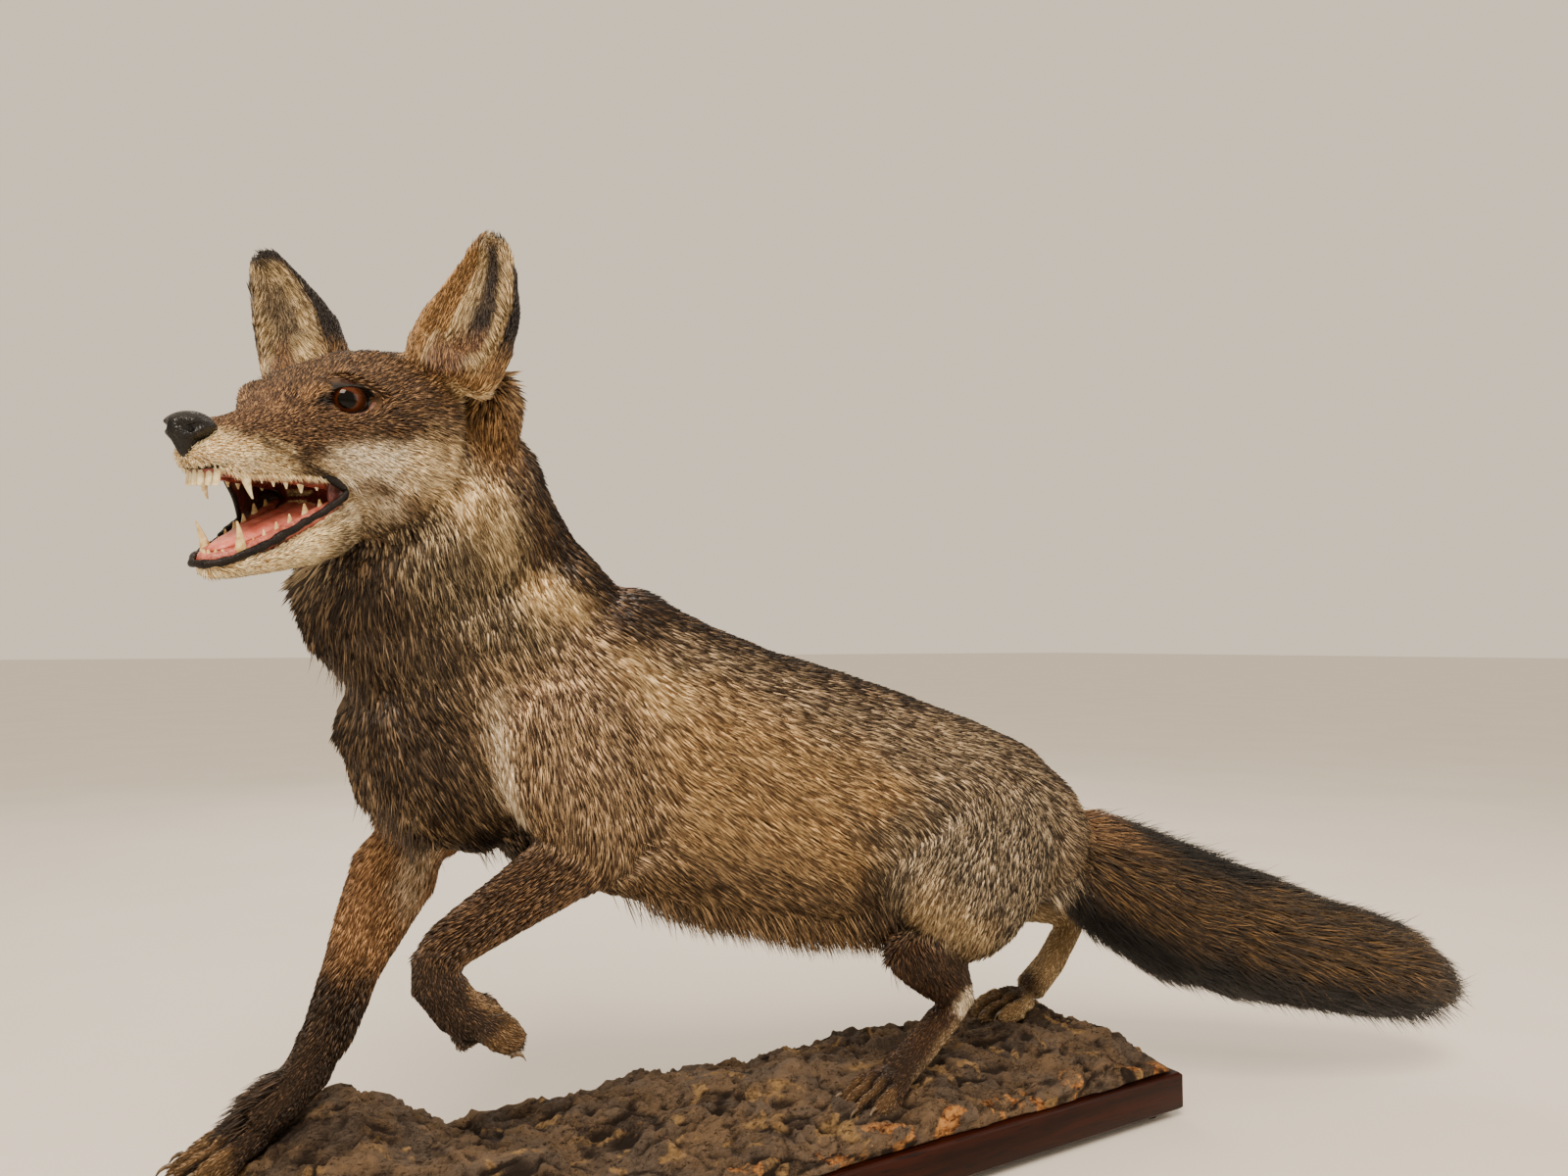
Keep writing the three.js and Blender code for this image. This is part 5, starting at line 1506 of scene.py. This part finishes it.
def joinShapes(name, shapes):
    spots, faces, start = [], [], 0
    for points, loops in shapes:
        spots.append(points)
        faces += [tuple(start + corner for corner in loop) for loop in loops]
        start += len(points)
    obj = meshFrom(name, np.concatenate(spots), faces)
    editWhole(obj, mergeWithin=0.000005, faceOut=True)
    smoothOver(obj, 50)
    return obj


def enamel(name, low, high):
    material, spot, shader = newMaterial(name, 0.26, 0.5)
    stain = spot.noise(320.0, 4.0)
    stain.step(0.35, 0.75).mix(rgba(high), rgba(low)).feed(shader, "Base Color")
    (stain * 0.2 + 0.18).feed(shader, "Roughness")
    bumpFrom(spot.noise(1200.0, 2.0), 0.15, 0.0004).feed(shader, "Normal")
    return material


toothRows = {  # teeth: place along the jaw, height and width; canine: base, tip, widths and bend
    "upper": {
        "teeth": ((47, 4.0, 2.1), (40, 5.2, 3.0), (32, 5.8, 3.6), (22.5, 7.4, 4.8), (12, 5.0, 4.2)),
        "outAt": (0, 20, 40, 56), "out": (19, 16.4, 14, 11.8),
        "upAt": (0, 20, 56), "up": (-42.5, -40.6, -39.4),
        "canine": ((57.5, 12.6, -36), (53.5, 13.6, -51.5), 3.9, 3.1, 1.1), "enamel": ("c6a96c", "f2e6bf"),
    },
    "lower": {
        "teeth": ((50, 3.4, 1.8), (44, 5.0, 2.7), (36.5, 5.6, 3.2), (28.5, 6.2, 3.6), (19, 7.4, 4.8),
                  (9, 5.0, 3.8)),
        "outAt": (0, 16, 32, 47, 60), "out": (18.4, 16.4, 13.8, 11.2, 8.4),
        "upAt": (-2, 16, 32, 47, 60), "up": (-50.5, -59.4, -66.5, -73, -77),
        "canine": ((58.5, 10, -80), (63.0, 12.4, -62.5), 3.7, 3.1, -1.1), "enamel": ("b28a48", "e3cf95"),
    },
}


def sideTeeth(row, side, root, lean, curve, way):
    # the canine and the cheek teeth of one side; root is where they start, below or above the bite
    flip = np.array((1, side, 1))
    base, tip, along, across, bend = row["canine"]
    made = [toothAt(base * flip, tip * flip, along, across, bend, (1, 0, 0))]
    for f, tall, wide in row["teeth"]:
        l = np.interp(f, row["outAt"], row["out"]) * side
        u = np.interp(f, row["upAt"], row["up"])
        end = u - math.copysign(tall, root)
        made.append(toothAt((f, l, u + root), (f + lean, l, end), wide, 1.5, curve, way))
    return made


def makeTeeth():
    upper, lower = [], []
    for side in (1, -1):
        upper += sideTeeth(toothRows["upper"], side, 2, -0.8, 0.2, (1, 0, 0))
        lower += sideTeeth(toothRows["lower"], side, -2.4, 0.6, -0.2, (1, 0, -0.45))
    for number in range(6):  # the incisors, the outer pair larger
        l = (number - 2.5) * 3.1
        big = 1.15 if number in (0, 5) else 1.0
        f = 73.5 - abs(l) * 0.5
        g = 70 - abs(l) * 0.6
        splay = 0.25 * (l > 0) - 0.12
        upper.append(toothAt((f, l, -37), (f + 1.4, l * 1.02, -44.6 - 0.8 * big), 1.75 * big, 1.6, 0.2,
                             (splay, 1, 0), 0.95))
        lower.append(toothAt((g, l * 0.8, -81), (g + 1.0, l * 0.82, -76.4), 1.0, 1.0, 0.2, (0.1, 1, 0), 0.7))
    for jaw, teeth in (("upper", upper), ("lower", lower)):
        coat = enamel(jaw + "_enamel", *toothRows[jaw]["enamel"])
        finishPiece(joinShapes(jaw + "_teeth", teeth), coat, "teeth_and_gum", jaw + "_gum_and_teeth")


cheekFlesh = wetMaterial("cheek_flesh", "2a0f0c", "56211b", 0.3, 0.6)
blackLip = wetMaterial("black_lip", "060404", "160f0c", 0.46, 0.9, shine=0.22)
makeNose()
makeMouth()
makeTongue()
toothModel = toothMaster()
makeTeeth()
print("mouth filled")


clawForm = {  # in metres: length, how far short of the node's tip, half width and height, bow and droop
    "long": 0.0115, "short": 0.002, "halfWide": 0.0013, "halfTall": 0.0018, "bow": 0.0024, "droop": 0.0008,
    "rough": 0.38, "colours": ("6f5d46", "382b20"),
}


def makeClaws(pair, hand, end):
    # each claw points as its node does, from the node's root to the corner furthest from the paw
    paw = np.array([vertex.co for vertex in nodes[end].data.vertices]).mean(axis=0)
    shapes = []
    names = [f"claw_{pair}_{hand}_{number}" for number in range(1, 5)]
    spots, loops = toothModel
    for name in names:
        corners = np.array([vertex.co for vertex in nodes[name].data.vertices])
        tip = corners[np.argmax(np.linalg.norm(corners - paw, axis=1))]
        far = np.linalg.norm(corners - tip, axis=1)
        way = unit(tip - corners[far > 0.55 * far.max()].mean(axis=0))
        tip = tip - way * clawForm["short"]
        base = tip - way * clawForm["long"]
        across = unit(np.cross(way, (0, 0, 1.0)))
        over = np.cross(across, way)
        z = spots[:, 2]
        bow = clawForm["bow"] * 4 * z * (1 - z) - clawForm["droop"] * z
        made = base + (z * clawForm["long"])[:, None] * way
        made = made + (spots[:, 0] * clawForm["halfWide"])[:, None] * across
        made = made + (spots[:, 1] * clawForm["halfTall"] + bow)[:, None] * over
        shapes.append((made, loops))
    obj = joinShapes(f"claws_{pair}_{hand}", shapes)
    finishPiece(obj, hornMaterial, "claw_horn", *names)


hornMaterial, spot, shader = newMaterial("claw_horn", clawForm["rough"], 0.5)
pale, dark = clawForm["colours"]
spot.noise(300.0, 4.0).step(0.35, 0.7).mix(rgba(pale), rgba(dark)).feed(shader, "Base Color")
bumpFrom(spot.noise(900.0, 3.0), 0.3, 0.0005).feed(shader, "Normal")
for pair, end in (("fore", "paw"), ("hind", "foot")):
    for hand in ("left", "right"):
        makeClaws(pair, hand, f"{end}_{hand}")
print("claws set")


barkForm = {  # in metres: how far steps, plates, wrinkles, cracks and swells stand out, and the limits
    "seed": 7, "voxel": 0.0023, "rounds": 3,
    "step": 0.0018, "plate": 0.0018, "wrinkle": 0.0014, "crack": 0.0022, "swell": 0.006,
    "limits": (-0.007, 0.006), "flatBelow": (0.004, 0.012), "tornEdge": (0.058, 0.070),
    "crust": ("2c221a", "7e6850"), "aged": ("38302a", "6e5f50"), "pale": ("6e5638", "a98a5e"),
    # the hollow colour is painted shade in the cracks, and the pit colour is painted shade in the pits of the
    # bump
    "torn": ("6e3a1a", "c99256"), "hollow": "221911", "pit": "261c14",
}


def makeBark():
    noise.seed_set(barkForm["seed"])  # noise_vector is seeded by the clock otherwise
    obj = nodeCopy("bark", "cork_bark")
    applyModifier(obj, "grain_size", "REMESH", mode="VOXEL", voxel_size=barkForm["voxel"])
    spots = relax(spotsOf(obj), edgesOf(obj), barkForm["rounds"])
    moveTo(obj, spots)
    normals = normalsOf(obj)
    above = ease(*barkForm["flatBelow"], spots[:, 2] - spots[:, 2].min())
    folded = []
    for x, y, z in spots:
        folded.append(Vector((x * 0.6, y, z)) + noise.noise_vector(Vector((x, y, z)) * 30) * 0.012)
    hills = np.array([noise.fractal(spot * 26, 0.9, 2.1, 4) for spot in folded])
    wrinkles = np.array([noise.ridged_multi_fractal(spot * 95, 0.8, 2.1, 3, 1.0, 2.0) for spot in folded])
    cells = [noise.voronoi(spot * 34) for spot in folded]
    split = np.array([gaps[1] - gaps[0] for gaps, _ in cells])
    plate = np.array([noise.noise(marks[0] * 3.7) for _, marks in cells])
    crack = (1 - ease(0.01, 0.1, split)) * ease(-0.1, 0.25, wave(spots, 20.0, 9.0))
    terrace = hills * 4.0
    terrace = np.floor(terrace) + ease(0.55, 1.0, terrace - np.floor(terrace))
    wrinkle = (wrinkles - wrinkles.mean()) / wrinkles.std()
    out = terrace * barkForm["step"] + plate * barkForm["plate"]
    out = out + np.clip(wrinkle, -2, 2) * barkForm["wrinkle"]
    out = out - crack * barkForm["crack"] + wave(spots, 14.0, 2.0) * barkForm["swell"]
    out = np.clip(out, *barkForm["limits"])
    moveTo(obj, spots + normals * (out * above)[:, None])
    # how open each spot is, low in the cracks and wrinkles; the material paints the low spots dark as shade
    hollow = np.clip(0.6 + wrinkle * 0.2 - crack * 0.5 + plate * 0.25, 0, 1)
    for name, values in (("cavity", hollow), ("plate", np.clip(0.5 + plate, 0, 1))):
        layer = obj.data.attributes.new(name, "FLOAT", "POINT")
        layer.data.foreach_set("value", values.astype(np.float32))
    smoothOver(obj, 180)
    finishPiece(obj, barkMaterial(), "cork_bark", "bark")
    print("bark", len(obj.data.polygons), "faces")


def barkMaterial():
    tones = {name: [rgba(code) for code in barkForm[name]] for name in ("crust", "aged", "pale", "torn")}
    material, spot, shader = newMaterial("cork_crust", 0.92, 0.2)
    cavity = spot.reading("cavity", 2)
    plate = spot.reading("plate", 2)
    grain = spot.stretched((0.55, 1.0, 1.0)).noise(240.0, 6.0, 0.65, 0.8)
    broad = spot.noise(30.0, 4.0)
    speck = spot.stretched((0.7, 1.0, 1.3)).noise(520.0, 6.0, 0.75, 1.2)
    # the crust is partly flaking colour and partly painted shade, darker where the cavity is low
    flakeAndShade = (plate * 0.2 + cavity * 0.2 + grain * 0.4 + speck * 0.5).step(0.46, 0.84)
    aged = broad.step(0.42, 0.62).mix(flakeAndShade.mix(*tones["crust"]), flakeAndShade.mix(*tones["aged"]))
    rubbed = spot.noise(44.0, 3.0, 0.5, 0.6).step(0.58, 0.66)
    pale = rubbed.mix(aged, grain.step(0.3, 0.7).mix(*tones["pale"]))
    begin, full = [distance - modelOrigin[1] for distance in barkForm["tornEdge"]]
    edge = (spot.make("ShaderNodeSeparateXYZ", None, {0: spot}, 1) * -1.0).step(begin, full)
    broken = spot.noise(36.0, 4.0, 0.6, 0.8).step(0.54, 0.6) * edge
    torn = broken.mix(pale, grain.step(0.35, 0.65).mix(*tones["torn"]))
    # painted shade: the cracks and hollows are painted near-black from the cavity
    crackShaded = cavity.step(0.0, 0.5).mix(rgba(barkForm["hollow"]), torn)
    # painted shade: the pits, where the bump is lowest, are painted dark
    (grain * 0.5 + speck * 0.5).step(0.38, 0.48).mix(rgba(barkForm["pit"]), crackShaded).feed(shader, "Base Color")
    bumpFrom(grain + speck * 0.8, 1.0, 0.0034).feed(shader, "Normal")
    return material


plinthForm = {
    "bevel": 0.0028, "segments": 3, "wood": ("150501", "2f1007"), "pore": "0e0502",
    "lacquer": ("140806", "2b110b"),
}


def dressPlinth():
    early, late = plinthForm["wood"]
    material, spot, shader = newMaterial("polished_mahogany", 0.42, 0.12)
    grain = spot.stretched((6.0, 90.0, 90.0)).noise(1.0, 6.0, 0.6, 0.6)
    pore = spot.stretched((40.0, 900.0, 900.0)).noise(1.0, 3.0)
    wood = grain.step(0.3, 0.72).mix(rgba(early), rgba(late))
    pore.step(0.56, 0.64).mix(wood, rgba(plinthForm["pore"])).feed(shader, "Base Color")
    (grain * 0.18 + 0.34).feed(shader, "Roughness")
    bumpFrom(pore, 0.12, 0.0003).feed(shader, "Normal")
    board = nodeCopy("plinth_board", "plinth_wood")
    applyModifier(board, "eased_edge", "BEVEL", width=plinthForm["bevel"], segments=plinthForm["segments"],
                  limit_method="ANGLE")
    smoothOver(board, 40)
    finishPiece(board, material, "mahogany", "plinth_board")
    early, late = plinthForm["lacquer"]
    lacquer, spot, shader = newMaterial("foot_lacquer", 0.45, 0.4)
    streak = spot.stretched((30.0, 30.0, 160.0)).noise(1.0, 4.0).step(0.3, 0.7)
    streak.mix(rgba(early), rgba(late)).feed(shader, "Base Color")
    bumpFrom(spot.noise(500.0, 3.0), 0.2, 0.0004).feed(shader, "Normal")
    for number in range(1, 5):  # the feet are the CAD's own nodes
        foot = nodes[f"plinth_foot_{number}"]
        foot.data.materials.clear()
        foot.data.materials.append(lacquer)


makeBark()
dressPlinth()
print("stand done")
